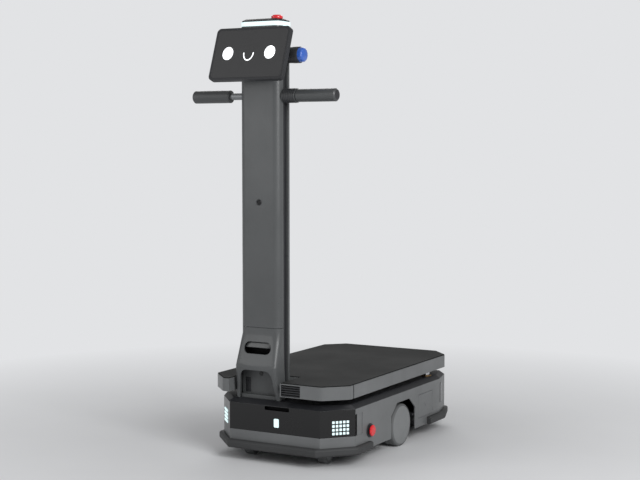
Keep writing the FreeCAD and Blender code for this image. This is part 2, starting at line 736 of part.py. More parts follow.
# ---------------------------------------------------------------- driven wheels
def drive_axles_and_brackets():
    axles, brackets = [], []
    length = WHEEL_FACE - S.wheel_width + 26 - BRACKET_FACE
    for side in SIDES.values():
        start = BRACKET_FACE if side > 0 else -BRACKET_FACE - length
        axles.append(cylinder("drive_axle", S.axle_radius, length,
                              (start, S.wheel_place, S.wheel_radius), ALONG_X))
        low = BRACKET_FACE if side > 0 else -BRACKET_FACE - S.bracket_wall
        body = new_body("drive_bracket")
        bottom = S.wheel_radius - 24
        add_slab(body, "YZ_Plane", low, low + S.bracket_wall,
                 [(S.wheel_place - S.bracket_width / 2, PLATE_LOW),
                  (S.wheel_place - S.bracket_width / 4, bottom),
                  (S.wheel_place + S.bracket_width / 4, bottom),
                  (S.wheel_place + S.bracket_width / 2, PLATE_LOW)])
        cut_round(body, "YZ_Plane", low, low + S.bracket_wall, S.wheel_place, S.wheel_radius,
                  S.axle_radius + S.running_gap)
        brackets.append(body)
    node("drive_axles", group("drive_axles", axles))
    return node("drive_brackets", group("drive_brackets", brackets))


def drive_wheel(label, side):
    """Hub motor drum with a smooth cover disc and a blind bore, and its tread."""
    hub_radius = S.wheel_radius - S.tyre_wall
    width = S.wheel_width
    bore = S.axle_radius + S.running_gap
    depth = width * 0.64
    hub = revolved("drive_hub_" + label,
                   [(0, bore), (0, hub_radius), (width - 2, hub_radius), (width, hub_radius - 3),
                    (width, hub_radius - 10), (width - 1.5, hub_radius - 13), (width - 1.5, 0),
                    (depth, 0), (depth, bore)])
    turn = UPRIGHT if side > 0 else Rotation(Z_AXIS, 180)
    start = side * (WHEEL_FACE - width)
    node("drive_hub_" + label, hub, start, S.wheel_place, S.wheel_radius, turn)
    tyre = revolved("drive_tyre_" + label,
                    [(0, hub_radius), (0, S.wheel_radius - 4), (4, S.wheel_radius),
                     (width - 4, S.wheel_radius), (width, S.wheel_radius - 4),
                     (width, hub_radius)])
    node("drive_tyre_" + label, tyre, start, S.wheel_place, S.wheel_radius, turn)


# ---------------------------------------------------------------- casters
FORK_TOP = PLATE_LOW - S.caster_plate_wall - 1
FORK_INNER = S.caster_width / 2 + 1.5


def caster_plates():
    plates = []
    for side, y in CORNERS.values():
        x = side * CASTER_X
        half = S.caster_plate / 2
        low = PLATE_LOW - S.caster_plate_wall
        plate = block("caster_plate", (x - half, y - half, low),
                      (S.caster_plate, S.caster_plate, S.caster_plate_wall))
        pin = cylinder("kingpin", S.kingpin_radius, S.kingpin_length,
                       (x, y, low - S.kingpin_length))
        plates.append(fuse("caster_mount", [plate, pin]))
    return node("caster_plates", group("caster_plates", plates))


def caster(label, side, y):
    """A swivelling fork with its axle, and the wheel that turns on it."""
    x = side * CASTER_X
    crown = FORK_TOP - S.crown_height
    outer = FORK_INNER + S.fork_wall
    reach = S.caster_trail
    body = new_body("caster_fork_" + label)
    add_round(body, "XY_Plane", crown, FORK_TOP, 0, 0, S.crown_radius)
    add_slab(body, "XY_Plane", crown, crown + 4, rectangle(-outer, -reach / 2, outer, reach + 8))
    for low in (-outer, FORK_INNER):
        add_slab(body, "YZ_Plane", low, low + S.fork_wall,
                 [(-reach / 2, crown + 4), (reach - 9, S.caster_radius - 6),
                  (reach + 9, S.caster_radius - 6), (reach + 8, crown + 4)])
    add_round(body, "YZ_Plane", -outer - 2, outer + 2, reach, S.caster_radius, S.caster_axle_radius)
    cut_round(body, "XY_Plane", crown, FORK_TOP, 0, 0, S.kingpin_radius + S.running_gap)
    node("caster_fork_" + label, body, x, y, 0)
    half = S.caster_width / 2
    radius = S.caster_radius
    bore = S.caster_axle_radius + S.running_gap
    wheel = revolved("caster_wheel_" + label,
                     [(-half, bore), (-half, radius - 3), (-half + 3, radius), (half - 3, radius),
                      (half, radius - 3), (half, bore)])
    node("caster_wheel_" + label, wheel, x, y + reach, radius)


# ---------------------------------------------------------------- side buttons and door
def side_estops():
    rings = []
    for label, side in SIDES.items():
        turn = ALONG_X if side > 0 else Rotation(Y_AXIS, -90)
        at = (side * HALF_BODY, -ESTOP_Y, ESTOP_Z)
        ring = cylinder("estop_ring", S.estop_ring, S.estop_wall, at, turn)
        depth = S.estop_depth
        barrel = cylinder("estop_barrel", S.stem_radius * 2 - S.fit_gap, depth,
                          (side * (HALF_BODY - depth), at[1], at[2]), turn)
        bore = cylinder("estop_bore", S.stem_radius + S.running_gap, depth + S.estop_wall + 2,
                        (side * (HALF_BODY - depth - 1), at[1], at[2]), turn)
        rings.append(cut("estop_holder", fuse("estop_solid", [ring, barrel]), bore))
        gap = S.estop_wall + S.estop_travel + S.fit_gap
        stem = S.estop_travel * 2 - S.estop_depth
        button = revolved("side_estop_" + label,
                          [(stem, 0), (stem, S.stem_radius),
                           (gap, S.stem_radius), (gap, S.estop_head - 1), (gap + 2, S.estop_head),
                           (gap + 4, S.estop_head), (gap + 7, S.estop_head - 5), (gap + 7, 0)])
        flip = UPRIGHT if side > 0 else Rotation(Z_AXIS, 180)
        node("side_estop_" + label, button, *at, flip)
    return rings


def door_axis():
    return HALF_BODY - S.door_wall / 2, DOOR_REAR - S.door_gap - S.door_wall / 2


def access_door():
    """Flush door in the right side, with pins at its rear edge and a quarter-turn lock."""
    gap = S.door_gap
    front, rear = DOOR_FRONT + gap, DOOR_REAR - gap
    low, high = DOOR_LOW + gap, DOOR_HIGH - gap
    inner = HALF_BODY - S.door_wall
    body = new_body("access_door")
    add_slab(body, "YZ_Plane", inner, HALF_BODY,
             half_rounded_box(front, low, rear, high, S.door_round - gap))
    middle_y, middle_z = (front + rear) / 2, (low + high) / 2
    cut_round(body, "YZ_Plane", inner, HALF_BODY, middle_y, middle_z, S.lock_radius + S.running_gap)
    pin_x, pin_y = door_axis()
    add_round(body, "XY_Plane", low - 4, low + 8, pin_x, pin_y, S.hinge_pin)
    add_round(body, "XY_Plane", high - 8, high + 4, pin_x, pin_y, S.hinge_pin)
    node("access_door", body)
    cam_x = HALF_BODY - S.skin_wall - S.fit_gap - S.cam_wall
    plug = cylinder("lock_plug", S.lock_radius, HALF_BODY - cam_x, (cam_x, middle_y, middle_z),
                    ALONG_X)
    reach = (DOOR_HIGH - DOOR_LOW) / 2 + S.cam_grip
    cam = block("lock_cam", (cam_x, middle_y - reach, middle_z - S.lock_radius + 1),
                (S.cam_wall, reach, S.lock_radius * 2 - 2))
    return node("door_lock", fuse("door_lock", [plug, cam]))


# ---------------------------------------------------------------- lifting platform
def post_places():
    """The four guide posts: two near the tray's rear corners, two nearer the middle."""
    front = (S.controller_width / 2 + S.front_post_gap, -S.front_post_along)
    rear = (TRAY_HALF - S.rear_post_inset, TRAY_REAR - S.rear_post_setback)
    return [(side * across, along) for across, along in (front, rear) for side in SIDES.values()]


def tray_plan(inset=0):
    half = TRAY_HALF - inset
    front, rear = inset - TRAY_FRONT, TRAY_REAR - inset
    nose = TRAY_HALF - S.platform_cut - inset / 2
    front_corner = S.platform_cut - TRAY_FRONT + inset / 2
    tail = TRAY_HALF - S.platform_rear_cut - inset / 2
    rear_corner = TRAY_REAR - S.platform_rear_cut - inset / 2
    return [(-nose, front), (NOTCH_LEFT - inset, front), (NOTCH_LEFT - inset, NOTCH_BACK + inset),
            (NOTCH_RIGHT + inset, NOTCH_BACK + inset), (NOTCH_RIGHT + inset, front),
            (nose, front), (half, front_corner), (half, rear_corner), (tail, rear),
            (-tail, rear), (-half, rear_corner), (-half, front_corner)]


def platform_tray():
    top = TRAY_TOP
    body = slab("platform_tray", "XY_Plane", TRAY_LOW, top, tray_plan())
    nose = float(TRAY_HALF) - float(S.platform_cut)

    def soft_corner(box):
        return upright(box) and abs(box.XMin) > nose - 1

    fillet(body, S.tray_round, soft_corner)
    inner = TRAY_HALF - S.tray_rail
    cut_slab(body, "XY_Plane", TRAY_LOW, top - S.tray_top_wall,
             rectangle(-inner, NOTCH_BACK + 8, inner, TRAY_REAR - 20))
    front = -TRAY_FRONT
    right = NOTCH_RIGHT + S.louvre_side
    low = TRAY_LOW + S.louvre_low
    cut_slab(body, "XZ_Plane", front, front + S.louvre_depth,
             rectangle(right, low, right + LOUVRE_WIDTH, low + S.louvre_height))
    half = TRAY_HALF
    groove = S.platform_cut - TRAY_FRONT + S.groove_place
    for side in SIDES.values():
        ends = sorted((side * half, side * (half - S.groove_depth)), key=float)
        cut_slab(body, "YZ_Plane", ends[0], ends[1],
                 rectangle(groove, TRAY_LOW, groove + S.groove_width, top))
    return node("platform_tray", body)


def platform_mat():
    body = slab("platform_mat", "XY_Plane", TRAY_TOP, MAT_TOP,
                tray_plan(S.mat_margin))
    return node("platform_mat", body)


def platform_louvre():
    """Ribbed black insert in the front wall beside the column."""
    front = -TRAY_FRONT
    left = NOTCH_RIGHT + S.louvre_side + S.fit_gap
    low = TRAY_LOW + S.louvre_low + S.fit_gap
    width = LOUVRE_WIDTH - S.fit_gap * 2
    height = S.louvre_height - S.fit_gap * 2
    body = slab("platform_louvre", "XZ_Plane", front + S.louvre_depth - 3, front + S.louvre_depth,
                rectangle(left, low, left + width, low + height))
    pitch = height / 5
    for step in range(5):
        rib = low + pitch * step
        add_slab(body, "XZ_Plane", front + 1, front + S.louvre_depth - 3,
                 rectangle(left, rib, left + width, rib + pitch * 0.45))
    return node("platform_louvre", body)


def lift_parts():
    posts, bushes = [], []
    under = TRAY_TOP - S.tray_top_wall
    for x, y in post_places():
        top = under if float(y) < 0 else TRAY_LOW
        posts.append(cylinder("lift_post", S.post_radius, top - POST_LOW,
                              (x, y, POST_LOW)))
        rim_wall = S.bush_wall
        sleeve = cylinder("bush_sleeve", S.post_radius + S.bush_wall - S.running_gap,
                          S.bush_height, (x, y, DECK_TOP + rim_wall - S.bush_height))
        rim = cylinder("bush_rim", S.post_radius + S.bush_wall * 2, rim_wall, (x, y, DECK_TOP))
        bore = cylinder("bush_bore", S.post_radius + S.running_gap, S.bush_height + 2,
                        (x, y, DECK_TOP + rim_wall - S.bush_height - 1))
        bushes.append(cut("lift_bush", fuse("bush_solid", [sleeve, rim]), bore))
    node("lift_posts", group("lift_posts", posts))
    node("lift_bushes", group("lift_bushes", bushes))
    side = S.motor_side
    tube = cylinder("actuator_tube", S.screw_radius + 5, S.actuator_height, (0, 0, PLATE_TOP))
    bore = cylinder("actuator_bore", S.screw_radius + S.running_gap, S.actuator_height,
                    (0, 0, PLATE_TOP + 4))
    motor = block("actuator_motor", (-S.screw_radius - side - 10, -side / 2, PLATE_TOP),
                  (side, side, side))
    arm = block("actuator_arm", (-S.screw_radius - 12, -side / 4, PLATE_TOP),
                (10, side / 2, side / 2))
    node("lift_actuator", cut("lift_actuator", fuse("actuator_solid", [tube, motor, arm]), bore))
    screw = cylinder("lift_screw", S.screw_radius, under - PLATE_TOP - 10, (0, 0, PLATE_TOP + 10))
    return node("lift_screw", group("lift_screw_piece", [screw]))


# ---------------------------------------------------------------- column
def front_section(body, z, width, front, back, radius):
    half = width / 2
    return outline(body, "XY_Plane", z,
                   [(COLUMN_X - half, -back), (COLUMN_X - half, -front, radius),
                    (COLUMN_X + half, -front, radius), (COLUMN_X + half, -back)])


def column_front_cover():
    body = new_body("column_front_cover")
    half = S.column_width / 2
    low, high = SEAM + S.seam_gap, S.column_top
    outer = front_section(body, low, S.column_width, COLUMN_FRONT, COVER_BACK, COLUMN_ROUND)
    feature(body, "Pad", Profile=outer, Length=high - low)
    wall = S.column_wall
    inner = front_section(body, high, S.column_width - wall * 2, COLUMN_FRONT - wall,
                          COVER_BACK - 1, COLUMN_ROUND - wall)
    feature(body, "Pocket", Profile=inner, Length=high - low)
    cut_round(body, "XZ_Plane", -COLUMN_FRONT, wall - COLUMN_FRONT, COLUMN_X, S.eye_height,
              S.eye_radius + S.fit_gap)
    cut_round(body, "YZ_Plane", COLUMN_X - half, COLUMN_X + half, -HANDLE_Y,
              HANDLE_Z, S.bar_radius + S.fit_gap)
    cut_round(body, "YZ_Plane", COLUMN_X, COLUMN_X + half, -HANDLE_Y, CALL_Z,
              S.bar_radius + S.fit_gap)
    return node("column_front_cover", body)


def foot_loft(body, kind, wall):
    """The lower cover's form: foot, knee and straight neck, drawn in by a wall."""
    levels = [(DECK_TOP, FOOT_HALF * 2, COLUMN_FRONT + S.foot_reach, S.foot_round),
              (KNEE, KNEE_HALF * 2, COLUMN_FRONT + S.knee_reach, S.knee_round),
              (FLARE_TOP, S.column_width, COLUMN_FRONT, COLUMN_ROUND),
              (SEAM, S.column_width, COLUMN_FRONT, COLUMN_ROUND)]
    back = COVER_BACK if kind == "AdditiveLoft" else COVER_BACK - 1
    sections = [front_section(body, z, width - wall * 2, front - wall, back, radius - wall)
                for z, width, front, radius in levels]
    return feature(body, kind, Profile=sections[0], Sections=sections[1:], Ruled=True)


def column_base_cover():
    """Flared lower cover with two legs, an arched recess and a rounded window slot."""
    body = new_body("column_base_cover")
    foot_loft(body, "AdditiveLoft", 0)
    foot_loft(body, "SubtractiveLoft", S.column_wall)
    front = -COLUMN_FRONT - S.knee_reach - 4
    cut_slab(body, "XZ_Plane", front, -COLUMN_FRONT + 10,
             [(COLUMN_X - RECESS_FOOT, DECK_TOP - 1), (COLUMN_X + RECESS_FOOT, DECK_TOP - 1),
              (COLUMN_X + RECESS_HEAD, RECESS_TOP, S.recess_round),
              (COLUMN_X - RECESS_HEAD, RECESS_TOP, S.recess_round)])
    half = S.slot_long / 2
    tall = S.slot_tall / 2
    cut_slab(body, "XZ_Plane", front, -COLUMN_FRONT + 10,
             rounded_box(COLUMN_X - half, SLOT_MIDDLE - tall, COLUMN_X + half,
                         SLOT_MIDDLE + tall, tall - 1))
    return node("column_base_cover", body)


def recess_panel():
    """Back wall of the arched recess, with its sill and an upright vent."""
    back = S.recess_depth - COLUMN_FRONT - S.knee_reach
    wall = S.column_wall
    half = RECESS_FOOT + 2
    body = slab("recess_panel", "XZ_Plane", back, back + wall,
                rectangle(COLUMN_X - half, DECK_TOP, COLUMN_X + half, RECESS_TOP + 6))
    front = -COLUMN_FRONT - S.foot_reach + 6
    add_slab(body, "XY_Plane", DECK_TOP, DECK_TOP + S.sill_height,
             rectangle(COLUMN_X - RECESS_FOOT + 1, front, COLUMN_X + RECESS_FOOT - 1, back))
    cut_round(body, "XZ_Plane", back, back + wall, COLUMN_X, LOW_EYE,
              S.eye_radius - 2 + S.fit_gap)
    vent = COLUMN_X - S.vent_place
    vent_low = DECK_TOP + S.sill_height + 4
    cut_slab(body, "XZ_Plane", back, back + wall / 2,
             rectangle(vent - S.vent_width / 2, vent_low, vent + S.vent_width / 2, vent_low + 46))
    return node("recess_panel", body)


def slot_window():
    """Dark cup behind the rounded slot; its rim follows the slope of the cover."""
    lean = S.knee_reach / (FLARE_TOP - KNEE)
    half, tall = S.slot_long / 2, S.slot_tall / 2
    low, high = SLOT_MIDDLE - tall - 2, SLOT_MIDDLE + tall + 2
    body = new_body("slot_window")

    def rim(z):
        return S.column_wall + S.fit_gap * 2 - COLUMN_FRONT - lean * (FLARE_TOP - z)

    back = 14 - COLUMN_FRONT
    add_slab(body, "YZ_Plane", COLUMN_X - half - 2, COLUMN_X + half + 2,
             [(rim(low), low), (back, low), (back, high), (rim(high), high)])
    cut_slab(body, "XZ_Plane", rim(low) - 1, back - 2,
             rounded_box(COLUMN_X - half, SLOT_MIDDLE - tall, COLUMN_X + half,
                         SLOT_MIDDLE + tall, tall - 1))
    return node("slot_window", body)


def column_eyes():
    front = S.fit_gap - COLUMN_FRONT
    upper = cylinder("upper_eye", S.eye_radius, S.eye_radius, (COLUMN_X, front, S.eye_height),
                     ALONG_Y)
    back = S.recess_depth - COLUMN_FRONT - S.knee_reach
    lower = cylinder("lower_eye", S.eye_radius - 2, S.eye_radius,
                     (COLUMN_X, back - 1, LOW_EYE), ALONG_Y)
    return node("column_cameras", group("column_cameras", [upper, lower]))


def column_mast():
    """Hollow extrusion that carries the covers, with a foot plate on the deck."""
    half = S.column_width / 2 - S.channel_depth
    back = -COLUMN_REAR - S.rear_cover_wall
    body = new_body("column_mast")
    add_slab(body, "XY_Plane", DECK_TOP, S.column_top,
             rectangle(COLUMN_X - half, -COVER_BACK, COLUMN_X + half, back))
    cut_slab(body, "XY_Plane", DECK_TOP + 6, S.column_top,
             rectangle(COLUMN_X - half + 4, -COVER_BACK + 4, COLUMN_X + half - 4, back - 4))
    cut_round(body, "YZ_Plane", COLUMN_X - half - 1, COLUMN_X + half + 1, -HANDLE_Y,
              HANDLE_Z, S.bar_radius + S.running_gap)
    return node("column_mast", body)


def column_rear_cover():
    back = -COLUMN_REAR
    body = slab("column_rear_cover", "XY_Plane", DECK_TOP, S.column_top,
                rectangle(COLUMN_X - S.column_width / 2, back - S.rear_cover_wall,
                          COLUMN_X + S.column_width / 2, back))

    def rear_edge(box):
        return upright(box) and abs(box.YMin - float(back)) < 0.01

    chamfer(body, S.rear_cover_wall / 3, rear_edge)
    return node("column_rear_cover", body)


def column_head(seats):
    """Light band, domed cap and stop button on top of the column."""
    half = S.column_width / 2
    front, back = -COLUMN_FRONT, -COLUMN_REAR
    top = S.column_top

    def ring_plan(inset):
        radius = COLUMN_ROUND - inset
        left, right = COLUMN_X - half + inset, COLUMN_X + half - inset
        return [(left, back - inset), (left, front + inset, radius),
                (right, front + inset, radius), (right, back - inset)]

    band = slab("light_band", "XY_Plane", top, top + S.band_height, ring_plan(0))
    x, y = COLUMN_X + S.top_button_place, -(COLUMN_FRONT + COLUMN_REAR) / 2
    cut_round(band, "XY_Plane", top + S.band_height / 2, top + S.band_height, x, y,
              S.stem_radius + 2)
    node("light_band", band)
    cap = new_body("top_cap")
    low = top + S.band_height
    first = outline(cap, "XY_Plane", low, ring_plan(1))
    second = outline(cap, "XY_Plane", low + S.cap_edge, ring_plan(2))
    third = outline(cap, "XY_Plane", low + S.cap_height, ring_plan(COLUMN_ROUND * 0.55))
    feature(cap, "AdditiveLoft", Profile=first, Sections=[second, third], Ruled=True)
    seat = low + S.cap_edge
    cut_round(cap, "XY_Plane", seat, low + S.cap_height, x, y, S.top_button_radius + 3)
    cut_round(cap, "XY_Plane", low, seat, x, y, S.stem_radius + 4)
    node("top_cap", cap)
    ring = cylinder("estop_seat", S.stem_radius + 4, S.cap_edge, (x, y, low))
    bore = cylinder("estop_seat_bore", S.stem_radius + S.running_gap, S.cap_edge, (x, y, low))
    seats.append(cut("top_estop_seat", ring, bore))
    head = seat + S.estop_travel + S.fit_gap - BUTTON_TOP
    button = revolved("top_estop",
                      [(0, 0), (0, S.top_button_radius - 5),
                       (-4, S.top_button_radius), (head + 2, S.top_button_radius),
                       (head, S.top_button_radius - 1), (head, S.stem_radius),
                       (head - 8, S.stem_radius), (head - 8, 0)])
    return node("top_estop", button, x, y, BUTTON_TOP, Rotation(Y_AXIS, -90))


def call_button():
    """Blue push button in a round housing whose neck passes between the column's covers."""
    start = COLUMN_X + S.column_width / 2 - S.channel_depth
    neck = S.channel_depth + S.fit_gap
    length = S.call_length + S.channel_depth
    at = (start, -HANDLE_Y, CALL_Z)
    radius = S.call_radius
    inner = radius - 1.5
    depth = length - S.call_travel - 8
    housing = revolved("call_button_housing",
                       [(0, 0), (0, S.bar_radius), (neck, S.bar_radius), (neck, radius),
                        (length, radius), (length, inner), (depth, inner), (depth, 0)])
    node("call_button_housing", housing, *at)
    cap_radius = inner - S.running_gap
    start_cap = depth + S.call_travel + S.fit_gap
    end = length + S.call_cap
    cap = revolved("call_button",
                   [(start_cap, 0), (start_cap, cap_radius), (end - 10, cap_radius),
                    (end - 3, cap_radius - 6), (end, cap_radius - 14), (end, 0)])
    return node("call_button", cap, *at)


def handles():
    """One bar through the mast, a grip on each end and a collar on the right."""
    at_y, at_z = -HANDLE_Y, HANDLE_Z
    left_end = COLUMN_X - S.handle_span / 2
    right_end = COLUMN_X + S.handle_span / 2
    bar = cylinder("handle_bar", S.bar_radius, S.handle_span - 8, (left_end + 4, at_y, at_z),
                   ALONG_X)
    node("handle_bar", group("handle_bar_piece", [bar]))
    mast_side = S.column_width / 2 + S.fit_gap
    collar_length = S.handle_span / 2 - S.grip_length - mast_side - S.fit_gap
    at = (COLUMN_X + mast_side, at_y, at_z)
    collar = cylinder("collar_solid", S.collar_radius, collar_length, at, ALONG_X)
    collar_bore = cylinder("collar_bore", S.bar_radius + S.running_gap, collar_length, at, ALONG_X)
    pieces = [cut("handle_collar", collar, collar_bore)]
    bore = S.bar_radius + S.running_gap
    for label, side in SIDES.items():
        body = revolved("grip_" + label,
                        [(0, bore), (0, S.grip_radius - 2), (2, S.grip_radius),
                         (S.grip_length - 4, S.grip_radius), (S.grip_length, S.grip_radius - 4),
                         (S.grip_length, 0), (S.grip_length - 4, 0), (S.grip_length - 4, bore)])
        flip = UPRIGHT if side > 0 else Rotation(Z_AXIS, 180)
        place(body, COLUMN_X + side * (S.handle_span / 2 - S.grip_length), at_y, at_z, flip)
        pieces.append(body)
    return node("handle_grips", group("handle_grips", pieces))


def display():
    """Tilted screen unit: housing, glass and the bracket that ties it to the column."""
    turn = Rotation(X_AXIS, -DISPLAY_TILT)
    at = (COLUMN_X, -DISPLAY_Y, DISPLAY_Z)
    half = S.display_width / 2
    tall, wall = S.display_tall, S.display_wall
    housing = slab("display_housing", "XZ_Plane", 0, wall,
                   rounded_box(-half, 0, half, tall, S.display_round))

    def back_rim(box):
        return box.YLength < 0.01 and abs(box.YMin - float(wall)) < 0.01

    chamfer(housing, wall / 4, back_rim)
    margin = S.glass_margin
    pocket = rounded_box(-half + margin, margin, half - margin, tall - margin,
                         S.display_round - margin / 2)
    cut_slab(housing, "XZ_Plane", 0, S.glass_wall, pocket)
    node("display_housing", housing, *at, turn)
    inset = margin + S.fit_gap
    glass = slab("display_glass", "XZ_Plane", 0, S.glass_wall,
                 rounded_box(-half + inset, inset, half - inset, tall - inset,
                             S.display_round - margin / 2))
    node("display_glass", glass, *at, turn)
    lean = math.tan(math.radians(DISPLAY_TILT))
    rise = math.cos(math.radians(DISPLAY_TILT))
    back_y = -DISPLAY_Y + wall / rise
    low_z, high_z = DISPLAY_Z + 40, DISPLAY_Z + 110
    bracket = new_body("display_bracket")

    def back_at(z):
        return back_y + (z - DISPLAY_Z) * lean

    add_slab(bracket, "YZ_Plane", COLUMN_X - 40, COLUMN_X + 40,
             [(back_at(low_z), low_z), (-COLUMN_FRONT, low_z), (-COLUMN_FRONT, high_z),
              (back_at(high_z), high_z)])
    return node("display_bracket", bracket)


# ---------------------------------------------------------------- the whole robot
def build():
    chassis_frame()
    for label, side in SIDES.items():
        side_panel(label, side)
    front_lower_cover()
    front_fascia()
    rear_cover()
    top_deck()
    bumper("bumper_front", -1)
    bumper("bumper_rear", 1)
    front_lights()
    front_lidar()
    side_sensors()
    tail_lights()
    battery_pack()
    controller_box()
    drive_axles_and_brackets()
    for label, side in SIDES.items():
        drive_wheel(label, side)
    caster_plates()
    for label, (side, y) in CORNERS.items():
        caster(label, side, y)
    seats = side_estops()
    access_door()
    platform_tray()
    platform_mat()
    platform_louvre()
    lift_parts()
    column_mast()
    column_rear_cover()
    column_front_cover()
    column_base_cover()
    recess_panel()
    slot_window()
    column_eyes()
    column_head(seats)
    node("estop_seats", group("estop_seats", seats))
    call_button()
    handles()
    display()


def check():
    doc.recompute()
    for item in doc.Objects:
        if "Invalid" in item.State or "Error" in item.State:
            raise RuntimeError(item.Name + " failed")
    for name, item in NODES.items():
        if item.Shape.isNull() or not item.Shape.isValid():
            raise RuntimeError(name + " has no valid shape")


def export():
    os.makedirs("parts", exist_ok=True)
    for name, item in NODES.items():
        item.Shape.exportStep("parts/" + name + ".step")
    print(len(NODES), "nodes")


build()
check()
export()
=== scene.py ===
"""Looks of the mobile robot: finishes, softened edges and small fittings round the CAD frame."""
import json
import math

import bmesh
import bpy
from mathutils import Matrix, Vector

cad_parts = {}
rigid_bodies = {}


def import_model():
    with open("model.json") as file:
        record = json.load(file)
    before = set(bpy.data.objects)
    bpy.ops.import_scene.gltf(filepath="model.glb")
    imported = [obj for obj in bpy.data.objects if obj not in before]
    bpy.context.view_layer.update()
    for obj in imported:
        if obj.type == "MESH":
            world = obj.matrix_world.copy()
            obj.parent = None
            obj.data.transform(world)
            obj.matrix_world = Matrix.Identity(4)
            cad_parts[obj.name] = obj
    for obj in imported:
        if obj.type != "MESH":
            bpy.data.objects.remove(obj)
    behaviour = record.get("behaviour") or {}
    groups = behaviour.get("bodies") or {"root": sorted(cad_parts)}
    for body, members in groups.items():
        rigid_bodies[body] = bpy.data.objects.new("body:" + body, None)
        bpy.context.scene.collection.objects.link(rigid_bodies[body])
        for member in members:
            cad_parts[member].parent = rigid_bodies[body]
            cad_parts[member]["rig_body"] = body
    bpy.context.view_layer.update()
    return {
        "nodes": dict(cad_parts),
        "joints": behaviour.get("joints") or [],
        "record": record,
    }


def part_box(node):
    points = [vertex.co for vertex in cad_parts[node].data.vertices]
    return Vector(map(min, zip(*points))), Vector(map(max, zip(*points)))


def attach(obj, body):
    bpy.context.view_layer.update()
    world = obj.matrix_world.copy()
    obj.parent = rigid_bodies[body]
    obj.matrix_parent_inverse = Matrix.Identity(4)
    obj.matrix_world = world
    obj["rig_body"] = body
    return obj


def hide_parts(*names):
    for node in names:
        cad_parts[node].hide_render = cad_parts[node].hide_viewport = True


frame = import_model()
NODES = frame["nodes"]
MM = 0.001

# Small places and counts, in millimetres unless noted; those on hidden sides are guesses.
CORNERS = ("front_left", "front_right", "rear_left", "rear_right")
SCREEN_TILT = 20            # degrees back from upright
FACE_SHIFT = 2              # the drawn face stands this far left of the pane's middle
EYE_REACH = 73.5            # from the face's middle to each eye
EYE_RISE = 1.5              # above the pane's middle
SMILE_RISE = 1
LENS_DROP = 8               # the upper camera eye's middle, below the camera node's top
VENT_LEFT = 48              # the vent's middle, left of the column's middle
VENT_RISE = 39              # and above the recess panel's foot
SLAT_PITCH = 4.9
SLATS = 9
WINDOW_LEAN = 28 / 97       # the base cover's slope, depth over height
WINDOW_SINK = 4             # how far behind the slot's mouth the pane stands
CAP_FLUTES = 12
SLEEVE_SHORT = 17           # the call button's sleeve ends this far short of the cap's end
COLLAR_RIBS = 7
RIB_START = 5
RIB_PITCH = 6
TREAD_GROOVES = (-9, 0, 9)
CASTER_SCREW = 0.026        # metres, from the kingpin to each screw, in x and in y
REAR_SCREW_X = 0.19         # metres, from the rear cover's middle
REAR_SCREW_Z = (0.052, 0.164)
CAMERA = {"azimuth": 29.2056, "elevation": 4.0885, "roll": 0.0, "lens": 77.07,
          "place": (2.1603, -3.8945, 0.9757)}


# ------------------------------------------------------------------ colours
def linear(value):
    value /= 255.0
    return value / 12.92 if value <= 0.04045 else ((value + 0.055) / 1.055) ** 2.4


def colour(red, green, blue):
    return (linear(red), linear(green), linear(blue), 1.0)


def scaled(tone, factor):
    return tuple(min(1.0, part * factor) for part in tone[:3]) + (1.0,)


# ------------------------------------------------------------------ materials
class Nodes:
    """A short way to add and join shader nodes."""

    def __init__(self, name):
        self.material = bpy.data.materials.new(name)
        self.material.use_nodes = True
        self.tree = self.material.node_tree
        self.shader = self.tree.nodes["Principled BSDF"]

    def add(self, kind, **values):
        node = self.tree.nodes.new("ShaderNode" + kind)
        for key, value in values.items():
            if key in node.inputs:
                node.inputs[key].default_value = value
            else:
                setattr(node, key.lower(), value)
        return node

    def join(self, start, end):
        self.tree.links.new(start, end)


def noise(nodes, place, scale, detail=3.0, rough=0.55):
    item = nodes.add("TexNoise", Scale=scale, Detail=detail, Roughness=rough)
    nodes.join(place.outputs["Object"], item.inputs["Vector"])
    return item.outputs["Fac"]


def remap(nodes, source, low, high, out_low, out_high):
    item = nodes.add("MapRange")
    for socket, value in zip(item.inputs[1:5], (low, high, out_low, out_high)):
        socket.default_value = value
    nodes.join(source, item.inputs[0])
    return item.outputs[0]


def blend_colours(nodes, factor, first, second):
    item = nodes.tree.nodes.new("ShaderNodeMix")
    item.data_type = "RGBA"
    nodes.join(factor, item.inputs[0])
    for socket, value in ((item.inputs[6], first), (item.inputs[7], second)):
        if hasattr(value, "is_output"):
            nodes.join(value, socket)
        else:
            socket.default_value = value
    return item.outputs[2]


